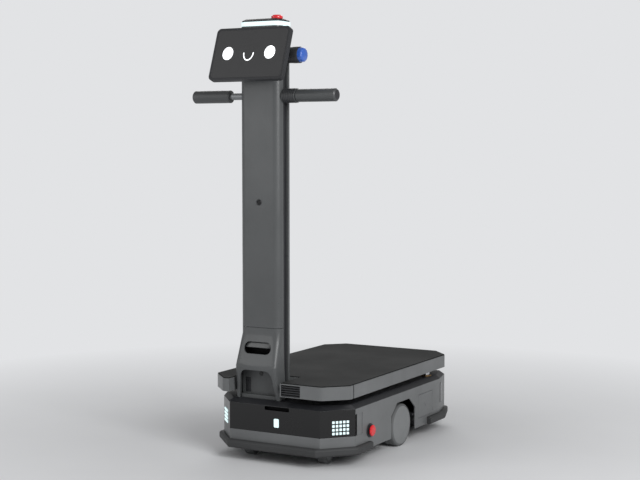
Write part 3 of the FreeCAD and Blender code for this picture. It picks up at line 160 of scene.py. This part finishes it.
def finish(name, tone, rough, metal=0.0, grain=0.35, grain_scale=900.0, cloud=0.10, edge_wear_and_highlight=0.35,
           edge=0.0012, coat=0.0, coat_rough=0.08, specular=0.5, brushed=None):
    """A moulded, painted or metal surface: grain, faint clouding, edges lightened as wear and
    painted highlight.
    """
    nodes = Nodes(name)
    shader = nodes.shader
    place = nodes.add("TexCoord")
    broad = noise(nodes, place, 5.0, 4.0)
    fine = noise(nodes, place, grain_scale, 2.0)
    base = blend_colours(nodes, remap(nodes, broad, 0.35, 0.65, 0, 1),
                         scaled(tone, 1 - cloud), scaled(tone, 1 + cloud))
    speck = remap(nodes, fine, 0.3, 0.7, 0, 0.22)
    base = blend_colours(nodes, speck, base, scaled(tone, 0.7))
    round_edge = nodes.add("Bevel", samples=4)
    round_edge.inputs["Radius"].default_value = edge
    true = nodes.add("NewGeometry")
    dot = nodes.add("VectorMath", operation="DOT_PRODUCT")
    nodes.join(round_edge.outputs[0], dot.inputs[0])
    nodes.join(true.outputs["Normal"], dot.inputs[1])
    # Edges lightened towards 1.9 times the tone: partly worn paint, partly a painted highlight
    # where rounded edges catch the light.
    worn_and_lit_edges = remap(nodes, dot.outputs["Value"], 0.995, 0.85, 0, edge_wear_and_highlight)
    edge_rub_and_highlight = nodes.add("Math", operation="MULTIPLY")
    nodes.join(worn_and_lit_edges, edge_rub_and_highlight.inputs[0])
    nodes.join(remap(nodes, noise(nodes, place, 60.0, 5.0), 0.4, 0.6, 0.25, 1), edge_rub_and_highlight.inputs[1])
    base = blend_colours(nodes, edge_rub_and_highlight.outputs[0], base, scaled(tone, 1.9))
    nodes.join(base, shader.inputs["Base Color"])
    uneven = noise(nodes, place, 14.0, 5.0)
    nodes.join(remap(nodes, uneven, 0.3, 0.7, max(0.02, rough - 0.07), rough + 0.07),
               shader.inputs["Roughness"])
    bump = nodes.add("Bump", Strength=grain, Distance=0.00025)
    height = fine
    if brushed:
        stretch = nodes.add("Mapping", vector_type="POINT")
        stretch.inputs["Scale"].default_value = brushed
        nodes.join(place.outputs["Object"], stretch.inputs["Vector"])
        lines = nodes.add("TexNoise", Scale=1.0, Detail=2.0, Roughness=0.6)
        nodes.join(stretch.outputs["Vector"], lines.inputs["Vector"])
        height = lines.outputs["Fac"]
    nodes.join(height, bump.inputs["Height"])
    nodes.join(round_edge.outputs[0], bump.inputs["Normal"])
    nodes.join(bump.outputs["Normal"], shader.inputs["Normal"])
    shader.inputs["Metallic"].default_value = metal
    shader.inputs["Specular IOR Level"].default_value = specular
    shader.inputs["Coat Weight"].default_value = coat
    shader.inputs["Coat Roughness"].default_value = coat_rough
    nodes.material.diffuse_color = tone
    return nodes.material


def lamp(name, tone, strength, body=None):
    """A lit diffuser, with faint specks a little darker than the rest."""
    nodes = Nodes(name)
    shader = nodes.shader
    place = nodes.add("TexCoord")
    fine = noise(nodes, place, 500.0, 2.0)
    glow = blend_colours(nodes, remap(nodes, fine, 0.3, 0.7, 0, 1), scaled(tone, 0.93), tone)
    nodes.join(glow, shader.inputs["Emission Color"])
    shader.inputs["Emission Strength"].default_value = strength
    shader.inputs["Base Color"].default_value = body or tone
    shader.inputs["Roughness"].default_value = 0.25
    nodes.material.diffuse_color = tone
    return nodes.material


def studded_rubber(name, tone):
    """Platform cover: fine studded rubber, with painted shade darkening the hollows between the
    studs.
    """
    nodes = Nodes(name)
    shader = nodes.shader
    place = nodes.add("TexCoord")
    studs = nodes.add("TexVoronoi", Scale=260.0)
    studs.inputs["Randomness"].default_value = 0.25
    nodes.join(place.outputs["Object"], studs.inputs["Vector"])
    height = remap(nodes, studs.outputs["Distance"], 0.1, 0.45, 1, 0)
    broad = noise(nodes, place, 4.0, 6.0)
    base = blend_colours(nodes, remap(nodes, broad, 0.35, 0.65, 0, 1), scaled(tone, 0.92),
                         scaled(tone, 1.08))
    # Painted shade: the hollows between the studs darkened towards 0.55 times the tone.
    base = blend_colours(nodes, remap(nodes, height, 0, 1, 0.25, 0), base, scaled(tone, 0.55))
    nodes.join(base, shader.inputs["Base Color"])
    nodes.join(remap(nodes, broad, 0.3, 0.7, 0.66, 0.8), shader.inputs["Roughness"])
    shader.inputs["Specular IOR Level"].default_value = 0.15
    bump = nodes.add("Bump", Strength=0.35, Distance=0.0004)
    nodes.join(height, bump.inputs["Height"])
    nodes.join(bump.outputs["Normal"], shader.inputs["Normal"])
    nodes.material.diffuse_color = tone
    return nodes.material


MATERIALS = {
    "cover_grey": finish("cover_grey", colour(81, 83, 84), 0.34, grain=0.3),
    "panel_grey": finish("panel_grey", colour(105, 107, 108), 0.38, grain=0.28),
    "dark_plastic": finish("dark_plastic", colour(38, 39, 42), 0.5, edge_wear_and_highlight=0.2),
    "gloss_black": finish("gloss_black", colour(11, 11, 12), 0.24, grain=0.05, cloud=0.05,
                          edge_wear_and_highlight=0.15, coat=0.22, coat_rough=0.1, specular=0.4),
    "deck_dark": finish("deck_dark", colour(34, 35, 38), 0.38, edge_wear_and_highlight=0.25, edge=0.002),
    "bumper_rubber": finish("bumper_rubber", colour(56, 57, 58), 0.62, grain=0.5,
                            grain_scale=600.0, edge=0.002),
    "mat_rubber": studded_rubber("mat_rubber", colour(40, 41, 41)),
    "tyre_grey": finish("tyre_grey", colour(98, 100, 101), 0.66, grain=0.6, grain_scale=500.0,
                        cloud=0.16),
    "hub_grey": finish("hub_grey", colour(124, 126, 127), 0.42),
    "frame_steel": finish("frame_steel", colour(40, 41, 44), 0.45, grain=0.5),
    "bright_steel": finish("bright_steel", colour(190, 191, 195), 0.24, metal=1.0, grain=0.12,
                           brushed=(60.0, 60.0, 1800.0), cloud=0.05, edge_wear_and_highlight=0.1),
    "bronze": finish("bronze", colour(150, 120, 78), 0.35, metal=1.0, grain=0.15),
    "battery_case": finish("battery_case", colour(44, 48, 54), 0.5),
    "aluminium": finish("aluminium", colour(170, 172, 176), 0.34, metal=1.0, grain=0.2,
                        brushed=(1500.0, 40.0, 40.0), edge_wear_and_highlight=0.1),
    "red_plastic": finish("red_plastic", colour(222, 36, 44), 0.25, grain=0.08, cloud=0.05,
                          edge_wear_and_highlight=0.12, coat=0.5),
    "blue_plastic": finish("blue_plastic", colour(52, 98, 190), 0.3, grain=0.08, cloud=0.06,
                           edge_wear_and_highlight=0.15, coat=0.5),
    "lamp_white": lamp("lamp_white", colour(226, 251, 252), 0.95, colour(150, 165, 168)),
    "lamp_smoke": finish("lamp_smoke", colour(40, 40, 44), 0.2, grain=0.1, coat=0.6),
    "screen_glass": finish("screen_glass", colour(58, 58, 59), 0.5, grain=0.02, cloud=0.02,
                           edge_wear_and_highlight=0.0, coat=0.08, coat_rough=0.3, specular=0.35),
    "lens_glass": finish("lens_glass", colour(5, 5, 7), 0.14, grain=0.0, edge_wear_and_highlight=0.0, coat=0.2,
                         coat_rough=0.04, specular=0.3),
    "grip_rubber": finish("grip_rubber", colour(68, 70, 71), 0.42, grain=0.6,
                          grain_scale=1100.0),
}
FACE_WHITE = lamp("face_white", colour(250, 252, 255), 1.1)
RECESS_GREY = finish("recess_grey", colour(72, 74, 75), 0.5, edge_wear_and_highlight=0.2)
BAR_GREY = finish("bar_grey", colour(128, 130, 132), 0.34, metal=0.6, grain=0.15)
LOCK_GREY = finish("lock_grey", colour(120, 122, 124), 0.4, metal=0.5, grain=0.1)
# Near-black with little sheen: dark sensor and slot windows, darkened further as painted shade of
# their recesses.
SENSOR_BLACK_AND_SLOT_SHADE = finish("sensor_black_and_slot_shade", colour(4, 4, 5), 0.5, grain=0.05, edge_wear_and_highlight=0.0, specular=0.08)
# Nodes whose look in the photograph differs from their material slot's
OWN_FINISH = {"recess_panel": RECESS_GREY, "handle_bar": BAR_GREY, "door_lock": LOCK_GREY,
              "front_lidar": SENSOR_BLACK_AND_SLOT_SHADE, "side_sensors": SENSOR_BLACK_AND_SLOT_SHADE, "slot_window": SENSOR_BLACK_AND_SLOT_SHADE}
WINDOW_GREY = finish("window_grey", colour(68, 70, 71), 0.3, grain=0.05, edge_wear_and_highlight=0.0, coat=0.4)
# The record's material slot of each node
SLOTS = {entry["node"]: entry["material_slot"] for entry in frame["record"]["subparts"]}


# ------------------------------------------------------------------ mesh helpers
def set_material(item, material):
    item.data.materials.clear()
    item.data.materials.append(material)


def keep(item, body, slot, *replaced, material=None):
    set_material(item, material or MATERIALS[slot])
    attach(item, body)
    if replaced:
        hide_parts(*replaced)
    return item


def new_object(name, bm, smooth=40):
    mesh = bpy.data.meshes.new(name)
    bm.to_mesh(mesh)
    bm.free()
    item = bpy.data.objects.new(name, mesh)
    bpy.context.scene.collection.objects.link(item)
    if smooth:
        shade(item, smooth)
    return item


def shade(item, angle):
    """Smooth shading with edges sharper than an angle left crisp."""
    bm = bmesh.new()
    bm.from_mesh(item.data)
    limit = math.radians(angle)
    for face in bm.faces:
        face.smooth = True
    for edge in bm.edges:
        sharp = len(edge.link_faces) == 2 and edge.calc_face_angle(0) > limit
        edge.smooth = not sharp
    bm.to_mesh(item.data)
    bm.free()


def apply_modifiers(item):
    graph = bpy.context.evaluated_depsgraph_get()
    mesh = bpy.data.meshes.new_from_object(item.evaluated_get(graph))
    item.modifiers.clear()
    old = item.data
    item.data = mesh
    bpy.data.meshes.remove(old)


def softened(node, width, segments=3, angle=30):
    """A copy of a CAD node with its edges rounded, which stands for it."""
    source = NODES[node]
    bm = bmesh.new()
    bm.from_mesh(source.data)
    bmesh.ops.remove_doubles(bm, verts=bm.verts, dist=2e-6)
    # Triangles are only paired: dissolving whole flat faces tore those that have holes.
    bmesh.ops.join_triangles(bm, faces=bm.faces, angle_face_threshold=math.radians(0.5),
                             angle_shape_threshold=math.radians(100))
    for layer in list(bm.loops.layers.uv):
        bm.loops.layers.uv.remove(layer)
    item = new_object(node + "_soft", bm, smooth=0)
    bevel = item.modifiers.new("edges", "BEVEL")
    bevel.width = width * MM
    bevel.segments = segments
    bevel.limit_method = "ANGLE"
    bevel.angle_limit = math.radians(angle)
    bevel.use_clamp_overlap = True
    bevel.harden_normals = False
    bpy.context.view_layer.update()
    apply_modifiers(item)
    shade(item, 35)
    even = item.modifiers.new("even", "WEIGHTED_NORMAL")
    even.keep_sharp = True
    bpy.context.view_layer.update()
    apply_modifiers(item)
    return keep(item, source["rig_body"], SLOTS[node], node, material=OWN_FINISH.get(node))


def lathe(name, profile, start, axis, segments=64, ripple=None, hollow=False):
    """Turns (along, radius) points, in millimetres, round an axis through start (metres)."""
    axis = Vector(axis).normalized()
    side = axis.orthogonal().normalized()
    third = axis.cross(side)
    bm = bmesh.new()
    rings = []
    for along, radius in profile:
        ring = []
        for step in range(segments):
            turn = 2 * math.pi * step / segments
            reach = radius + (ripple(along, turn) if ripple and radius > 1e-6 else 0)
            spot = start + axis * along * MM
            spot = spot + (side * math.cos(turn) + third * math.sin(turn)) * reach * MM
            ring.append(bm.verts.new(spot))
        rings.append(ring)
    for lower, upper in zip(rings, rings[1:]):
        for step in range(segments):
            after = (step + 1) % segments
            bm.faces.new((lower[step], lower[after], upper[after], upper[step]))
    if hollow:
        for step in range(segments):
            after = (step + 1) % segments
            bm.faces.new((rings[-1][step], rings[-1][after], rings[0][after], rings[0][step]))
    else:
        bm.faces.new(list(reversed(rings[0])))
        bm.faces.new(rings[-1])
    bmesh.ops.remove_doubles(bm, verts=bm.verts, dist=1e-7)
    bmesh.ops.recalc_face_normals(bm, faces=bm.faces)
    return new_object(name, bm)


def extruded(name, outline, matrix, depth, rim=0.0):
    """A flat outline (millimetres) extruded along its own normal, with a small rounded rim."""
    bm = bmesh.new()
    base = [bm.verts.new((x * MM, y * MM, 0)) for x, y in outline]
    face = bm.faces.new(base)
    grown = bmesh.ops.extrude_face_region(bm, geom=[face])
    top = [v for v in grown["geom"] if isinstance(v, bmesh.types.BMVert)]
    bmesh.ops.translate(bm, verts=top, vec=(0, 0, depth * MM))
    if rim:
        edges = [e for e in bm.edges if all(v in top for v in e.verts)]
        bmesh.ops.bevel(bm, geom=edges, offset=rim * MM, segments=3, profile=0.5, affect="EDGES")
    bmesh.ops.recalc_face_normals(bm, faces=bm.faces)
    bmesh.ops.transform(bm, matrix=matrix, verts=bm.verts)
    return new_object(name, bm)


def oval(width, height, steps=48):
    """Outline of an ellipse round the origin."""
    return [(width / 2 * math.cos(2 * math.pi * i / steps),
             height / 2 * math.sin(2 * math.pi * i / steps)) for i in range(steps)]


def rounded(width, height, radius, steps=6):
    """Outline of a rectangle with round corners, round the origin."""
    points = []
    for cx, cy, start in ((1, 1, 0), (-1, 1, 90), (-1, -1, 180), (1, -1, 270)):
        for step in range(steps + 1):
            turn = math.radians(start + 90 * step / steps)
            points.append((cx * (width / 2 - radius) + radius * math.cos(turn),
                           cy * (height / 2 - radius) + radius * math.sin(turn)))
    return points


def arc_band(width, drop, stroke, steps=28):
    """A smile: half an oval drawn with a round-ended stroke."""
    outer, inner = [], []
    for step in range(steps + 1):
        turn = math.pi + math.pi * step / steps
        for line, side in ((outer, 1), (inner, -1)):
            half = width / 2 + side * stroke / 2
            line.append((half * math.cos(turn), (drop + side * stroke / 2) * math.sin(turn)))
    caps = [[(end * width / 2 + stroke / 2 * math.cos(a), stroke / 2 * math.sin(a))
             for a in (math.pi * 0.25, math.pi * 0.5, math.pi * 0.75)] for end in (1, -1)]
    cap_right, cap_left = caps
    return outer + cap_right + inner[::-1] + cap_left


def facing(origin, right, up):
    """Matrix that puts an outline's x and y along right and up, its normal towards the viewer."""
    right, up = Vector(right).normalized(), Vector(up).normalized()
    out = right.cross(up)
    matrix = Matrix.Identity(4)
    for column, axis in enumerate((right, up, out)):
        for row in range(3):
            matrix[row][column] = axis[row]
    matrix.translation = origin
    return matrix


def joined(name, items):
    """Merges small pieces into one object."""
    bm = bmesh.new()
    for item in items:
        bm.from_mesh(item.data)
        mesh = item.data
        bpy.data.objects.remove(item)
        bpy.data.meshes.remove(mesh)
    return new_object(name, bm)


def screw(place, axis, radius=4.0):
    """A low button-head screw with a round socket."""
    profile = [(-0.5, radius), (0.6, radius), (1.5, radius * 0.86), (2.0, radius * 0.55),
               (2.0, radius * 0.5), (0.7, radius * 0.45), (0.7, 0.001)]
    return lathe("screw", profile, place, axis, 18)


# ------------------------------------------------------------------ the CAD frame's finish
for name, item in NODES.items():
    set_material(item, OWN_FINISH.get(name, MATERIALS[SLOTS[name]]))
    shade(item, 35)

SOFT_EDGES = {
    "side_panel_left": 0.7, "side_panel_right": 0.7, "front_lower_cover": 0.8,
    "rear_cover": 0.7, "top_deck": 1.0, "bumper_front": 1.5,
    "bumper_rear": 1.5, "platform_tray": 0.8, "platform_mat": 0.8, "column_front_cover": 0.4,
    "column_rear_cover": 1.0, "column_base_cover": 0.8, "recess_panel": 0.6,
    "slot_window": 0.5, "top_cap": 0.8, "light_band": 0.6, "display_housing": 2.0,
    "display_bracket": 2.0, "front_lidar": 0.8, "battery_pack": 2.0, "controller_box": 0.8,
    "estop_seats": 0.6, "access_door": 0.4, "platform_louvre": 0.3, "chassis_frame": 0.6,
    "drive_brackets": 0.8, "headlights": 0.5, "status_light": 0.5, "tail_lights": 0.5,
    "side_sensors": 0.4, "handle_grips": 0.8, "call_button_housing": 0.6, "top_estop": 0.8,
    "side_estop_left": 1.0, "side_estop_right": 1.0, "caster_plates": 0.5, "door_lock": 0.3,
}
for name, width in SOFT_EDGES.items():
    softened(name, width)


# ------------------------------------------------------------------ display face
low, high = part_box("display_glass")
tilt = math.radians(SCREEN_TILT)
right = Vector((1, 0, 0))
up = Vector((0, math.sin(tilt), math.cos(tilt)))
out = right.cross(up)
centre = (low + high) / 2
glass_points = [v.co for v in NODES["display_glass"].data.vertices]
glass_front = max(glass_points, key=lambda co: co.dot(out))
surface = centre + out * (glass_front.dot(out) - centre.dot(out))
face_parts = []
for side in (-1, 1):
    spot = surface + right * (side * EYE_REACH - FACE_SHIFT) * MM + up * EYE_RISE * MM
    face_parts.append(extruded("eye", oval(36.5, 41.5), facing(spot, right, up), 0.4, 0.15))
spot = surface - right * FACE_SHIFT * MM + up * SMILE_RISE * MM
face_parts.append(extruded("smile", arc_band(33, 23, 3.3), facing(spot, right, up), 0.4, 0.15))
keep(joined("screen_face", face_parts), "chassis", "lamp_white", material=FACE_WHITE)

# ------------------------------------------------------------------ column eyes
low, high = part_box("column_cameras")
EYE_X = (low.x + high.x) / 2
front_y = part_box("column_front_cover")[0].y
eye_z = high.z - LENS_DROP * MM
spot = Vector((EYE_X, front_y, eye_z))
ring = lathe("eye_ring", [(-3, 9.5), (0.6, 9.5), (1.4, 8.8), (1.4, 7.4), (-2, 6.2), (-2, 0.001)],
             spot, (0, -1, 0))
keep(ring, "chassis", "dark_plastic")
lens = lathe("eye_lens", [(-2, 6.0), (-1.2, 5.4), (-0.6, 4.2), (-0.3, 2.2), (-0.2, 0.001)],
             spot, (0, -1, 0))
keep(lens, "chassis", "lens_glass")

# ------------------------------------------------------------------ base cover: vent and window
low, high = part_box("recess_panel")
pocket = Vector((EYE_X - VENT_LEFT * MM, high.y - 2 * MM, low.z + VENT_RISE * MM))
upright = ((1, 0, 0), (0, 0, 1))
slats = [extruded("back", rounded(19.2, 45.2, 0.8), facing(pocket, *upright), 0.4, 0.1)]
for step in range(SLATS):
    spot = pocket + Vector((0, 0, (step - SLATS // 2) * SLAT_PITCH * MM))
    slats.append(extruded("slat", rounded(18.4, 1.8, 0.4), facing(spot, *upright), 1.5, 0.3))
keep(joined("vent_grille", slats), "chassis", "dark_plastic")

low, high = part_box("slot_window")
middle_z = (low.z + high.z) / 2
pane_y = low.y + WINDOW_LEAN * (middle_z - low.z) + WINDOW_SINK * MM
glass = Vector((EYE_X, pane_y, middle_z))
upper = []
for step in range(13):
    turn = math.pi / 2 * step / 12
    upper.append((30 + 16.6 * math.cos(turn), 16.6 * math.sin(turn)))
upper += [(-x, y) for x, y in reversed(upper)]
pane = extruded("window_upper", upper, facing(glass, (1, 0, 0), (0, WINDOW_LEAN, 1)), 0.8, 0.2)
keep(pane, "chassis", "dark_plastic", material=WINDOW_GREY)

# ------------------------------------------------------------------ call button with a fluted cap
low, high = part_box("call_button")
axis_y, axis_z = (low.y + high.y) / 2, (low.z + high.z) / 2
radius = (high.z - low.z) / 2 / MM
span = (high.x - low.x) / MM
cap_start = Vector((low.x, axis_y, axis_z))


def flutes(along, turn):
    """Shallow flutes that fade in where the cap leaves its sleeve."""
    depth = min(1.0, max(0.0, (along - span + SLEEVE_SHORT) / 6))
    return -0.7 * depth * (0.5 - 0.5 * math.cos(CAP_FLUTES * turn)) ** 2


cap_radius = radius - 0.1
dome = [(0, cap_radius), (span - 18, cap_radius), (span - 14, cap_radius - 0.2),
        (span - 9, cap_radius - 0.5)]
for step in range(1, 11):
    turn = math.pi / 2 * step / 10
    dome.append((span - 9 + 7 * math.sin(turn), cap_radius - 7.5 + 7 * math.cos(turn)))
for share in (0.8, 0.6, 0.4, 0.2, 0.0):
    dome.append((span - 0.3 - 1.7 * share ** 2, max(0.001, (cap_radius - 7.5) * share)))
cap = lathe("call_button_cap", dome, cap_start, (1, 0, 0), 96, flutes)
keep(cap, "call_cap", "blue_plastic", "call_button")
sleeve_end = span - SLEEVE_SHORT
sleeve = [(1, radius + 0.3), (1, radius + 2.2), (sleeve_end - 1, radius + 2.2),
          (sleeve_end, radius + 1.4), (sleeve_end, radius + 0.3)]
sleeve = lathe("call_button_sleeve", sleeve, cap_start, (1, 0, 0), 96, hollow=True)
keep(sleeve, "chassis", "dark_plastic")

# ------------------------------------------------------------------ handle collar and grip rings
low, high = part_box("handle_grips")
axis_y, axis_z = (low.y + high.y) / 2, (low.z + high.z) / 2
collar_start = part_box("column_front_cover")[1].x + 0.3 * MM
rib = [(-2.1, 21.2), (-1.6, 22.0), (1.6, 22.0), (2.1, 21.2)]
rings = []
for step in range(COLLAR_RIBS):
    spot = Vector((collar_start + (RIB_START + step * RIB_PITCH) * MM, axis_y, axis_z))
    rings.append(lathe("ring", rib, spot, (1, 0, 0)))
keep(joined("collar_ribs", rings), "chassis", "dark_plastic")
end_cap = [(-0.8, 15.0), (0.0, 14.6), (0.25, 13.0), (0.25, 0.001)]
ends = []
for side, edge in ((-1, low.x), (1, high.x)):
    spot = Vector((edge, axis_y, axis_z))
    ends.append(lathe("cap", end_cap, spot, (side, 0, 0)))
keep(joined("grip_end_caps", ends), "chassis", "dark_plastic")

# ------------------------------------------------------------------ drive tyres and hub covers
for label, outward in (("left", -1), ("right", 1)):
    low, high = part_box("drive_tyre_" + label)
    middle = (low + high) / 2
    radius = (high.z - low.z) / 2 / MM
    width = (high.x - low.x) / MM
    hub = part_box("drive_hub_" + label)
    inner = (hub[1].z - hub[0].z) / 2 / MM
    tread = [(-width / 2, inner), (-width / 2, radius - 5), (-width / 2 + 1.5, radius - 2),
             (-width / 2 + 4, radius)]
    for groove in TREAD_GROOVES:
        tread += [(groove - 1.4, radius), (groove - 0.8, radius - 1.6),
                  (groove + 0.8, radius - 1.6), (groove + 1.4, radius)]
    tread += [(width / 2 - 4, radius), (width / 2 - 1.5, radius - 2), (width / 2, radius - 5),
              (width / 2, inner)]
    tyre = lathe("tyre_tread_" + label, tread, middle, (1, 0, 0), 128, hollow=True)
    keep(tyre, "drive_wheel_" + label, "tyre_grey", "drive_tyre_" + label)
    face = Vector((hub[1].x if outward > 0 else hub[0].x, middle.y, middle.z))
    cover = [(-4.0, inner - 0.4), (-0.6, inner - 0.4), (0.1, inner - 1.0), (0.35, inner - 2.4)]
    cover += [(0.35, 30), (0.1, 28.6), (0.1, 27.4), (0.35, 26), (0.35, 0.001)]
    cover = lathe("hub_cover_" + label, cover, face, (outward, 0, 0), 128)
    keep(cover, "drive_wheel_" + label, "hub_grey")

# ------------------------------------------------------------------ caster hubs
caster_disc = [(-0.5, 17), (0.3, 17), (0.6, 16), (0.6, 8), (0.2, 6.5), (0.2, 4.4)]
for label in CORNERS:
    low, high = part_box("caster_wheel_" + label)
    middle = (low + high) / 2
    half = (high.x - low.x) / 2 / MM
    discs = []
    for side in (-1, 1):
        spot = Vector((middle.x + side * half * MM, middle.y, middle.z))
        discs.append(lathe("disc", caster_disc, spot, (side, 0, 0), 48))
    keep(joined("caster_discs_" + label, discs), "roller_" + label, "hub_grey")

# ------------------------------------------------------------------ small screws
screws = []
plate_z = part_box("caster_plates")[1].z - 4 * MM
joint_places = {joint["name"]: joint.get("pos_m") for joint in frame["joints"]}
for label in CORNERS:
    x, y, _ = joint_places["caster_swivel_" + label]
    for dx in (-CASTER_SCREW, CASTER_SCREW):
        for dy in (-CASTER_SCREW, CASTER_SCREW):
            screws.append(screw(Vector((x + dx, y + dy, plate_z)), (0, 0, -1)))
rear_low, rear_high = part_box("rear_cover")
for dx in (-REAR_SCREW_X, REAR_SCREW_X):
    for z in REAR_SCREW_Z:
        spot = Vector(((rear_low.x + rear_high.x) / 2 + dx, rear_high.y, z))
        screws.append(screw(spot, (0, 1, 0)))
keep(joined("cover_screws", screws), "chassis", "bright_steel")

# ------------------------------------------------------------------ lock face
low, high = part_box("access_door")
spot = Vector((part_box("door_lock")[1].x, (low.y + high.y) / 2, (low.z + high.z) / 2))
lock = lathe("lock_face", [(-0.5, 5.6), (0.2, 5.6), (0.5, 5.2), (0.5, 2.2), (-0.4, 2.0),
                           (-0.4, 0.001)], spot, (1, 0, 0), 40)
keep(lock, "lock", "bright_steel", material=LOCK_GREY)


# ------------------------------------------------------------------ floor, lights and camera
def floor():
    bm = bmesh.new()
    bmesh.ops.create_circle(bm, cap_ends=True, segments=96, radius=40.0)
    item = new_object("floor", bm, smooth=0)
    nodes = Nodes("floor_pale")
    shader = nodes.shader
    place = nodes.add("TexCoord")
    cloud = noise(nodes, place, 1.2, 3.0)
    tone = blend_colours(nodes, remap(nodes, cloud, 0.3, 0.7, 0, 1), colour(218, 219, 221),
                         colour(224, 225, 227))
    nodes.join(tone, shader.inputs["Base Color"])
    shader.inputs["Roughness"].default_value = 0.85
    shader.inputs["Specular IOR Level"].default_value = 0.2
    distance = nodes.add("VectorMath", operation="LENGTH")
    nodes.join(place.outputs["Object"], distance.inputs[0])
    far = remap(nodes, distance.outputs["Value"], 0.6, 2.2, 0, 1)
    glow = nodes.add("Emission", Color=colour(226, 227, 229), Strength=1.0)
    mix = nodes.add("MixShader")
    nodes.join(far, mix.inputs[0])
    nodes.join(shader.outputs[0], mix.inputs[1])
    nodes.join(glow.outputs[0], mix.inputs[2])
    nodes.join(mix.outputs[0], nodes.tree.nodes["Material Output"].inputs[0])
    set_material(item, nodes.material)


def world():
    scene_world = bpy.data.worlds.new("studio")
    bpy.context.scene.world = scene_world
    scene_world.use_nodes = True
    tree = scene_world.node_tree
    back = tree.nodes["Background"]
    back.inputs["Color"].default_value = (1, 1, 1, 1)
    back.inputs["Strength"].default_value = 0.33
    seen = tree.nodes.new("ShaderNodeBackground")
    seen.inputs["Color"].default_value = colour(226, 227, 229)
    path = tree.nodes.new("ShaderNodeLightPath")
    mix = tree.nodes.new("ShaderNodeMixShader")
    tree.links.new(path.outputs["Is Camera Ray"], mix.inputs[0])
    tree.links.new(back.outputs[0], mix.inputs[1])
    tree.links.new(seen.outputs[0], mix.inputs[2])
    tree.links.new(mix.outputs[0], tree.nodes["World Output"].inputs[0])


def area(name, spot, aim, size, power):
    light = bpy.data.lights.new(name, "AREA")
    light.shape = "RECTANGLE"
    light.size, light.size_y = size
    light.energy = power
    item = bpy.data.objects.new(name, light)
    bpy.context.scene.collection.objects.link(item)
    item.location = spot
    item.rotation_euler = (Vector(aim) - Vector(spot)).to_track_quat("-Z", "Y").to_euler()


def camera():
    azimuth, elevation = math.radians(CAMERA["azimuth"]), math.radians(CAMERA["elevation"])
    data = bpy.data.cameras.new("camera")
    data.sensor_width = 36.0
    data.lens = CAMERA["lens"]
    data.clip_end = 200
    item = bpy.data.objects.new("camera", data)
    bpy.context.scene.collection.objects.link(item)
    back = Vector((math.sin(azimuth) * math.cos(elevation),
                   -math.cos(azimuth) * math.cos(elevation), math.sin(elevation)))
    roll = Matrix.Rotation(math.radians(CAMERA["roll"]), 3, "Z")
    turn = back.to_track_quat("Z", "Y").to_matrix() @ roll
    item.matrix_world = Matrix.Translation(Vector(CAMERA["place"])) @ turn.to_4x4()
    bpy.context.scene.camera = item


floor()
world()
area("key", (3.3, -2.1, 2.4), (0, 0, 0.6), (1.8, 2.2), 115)
area("fill", (-2.4, -3.2, 2.0), (0, 0, 0.6), (2.5, 2.5), 26)
area("rim", (-1.6, 3.2, 2.8), (0, 0, 0.6), (2.5, 1.5), 34)
camera()
view = bpy.context.scene.view_settings
view.view_transform = "Standard"
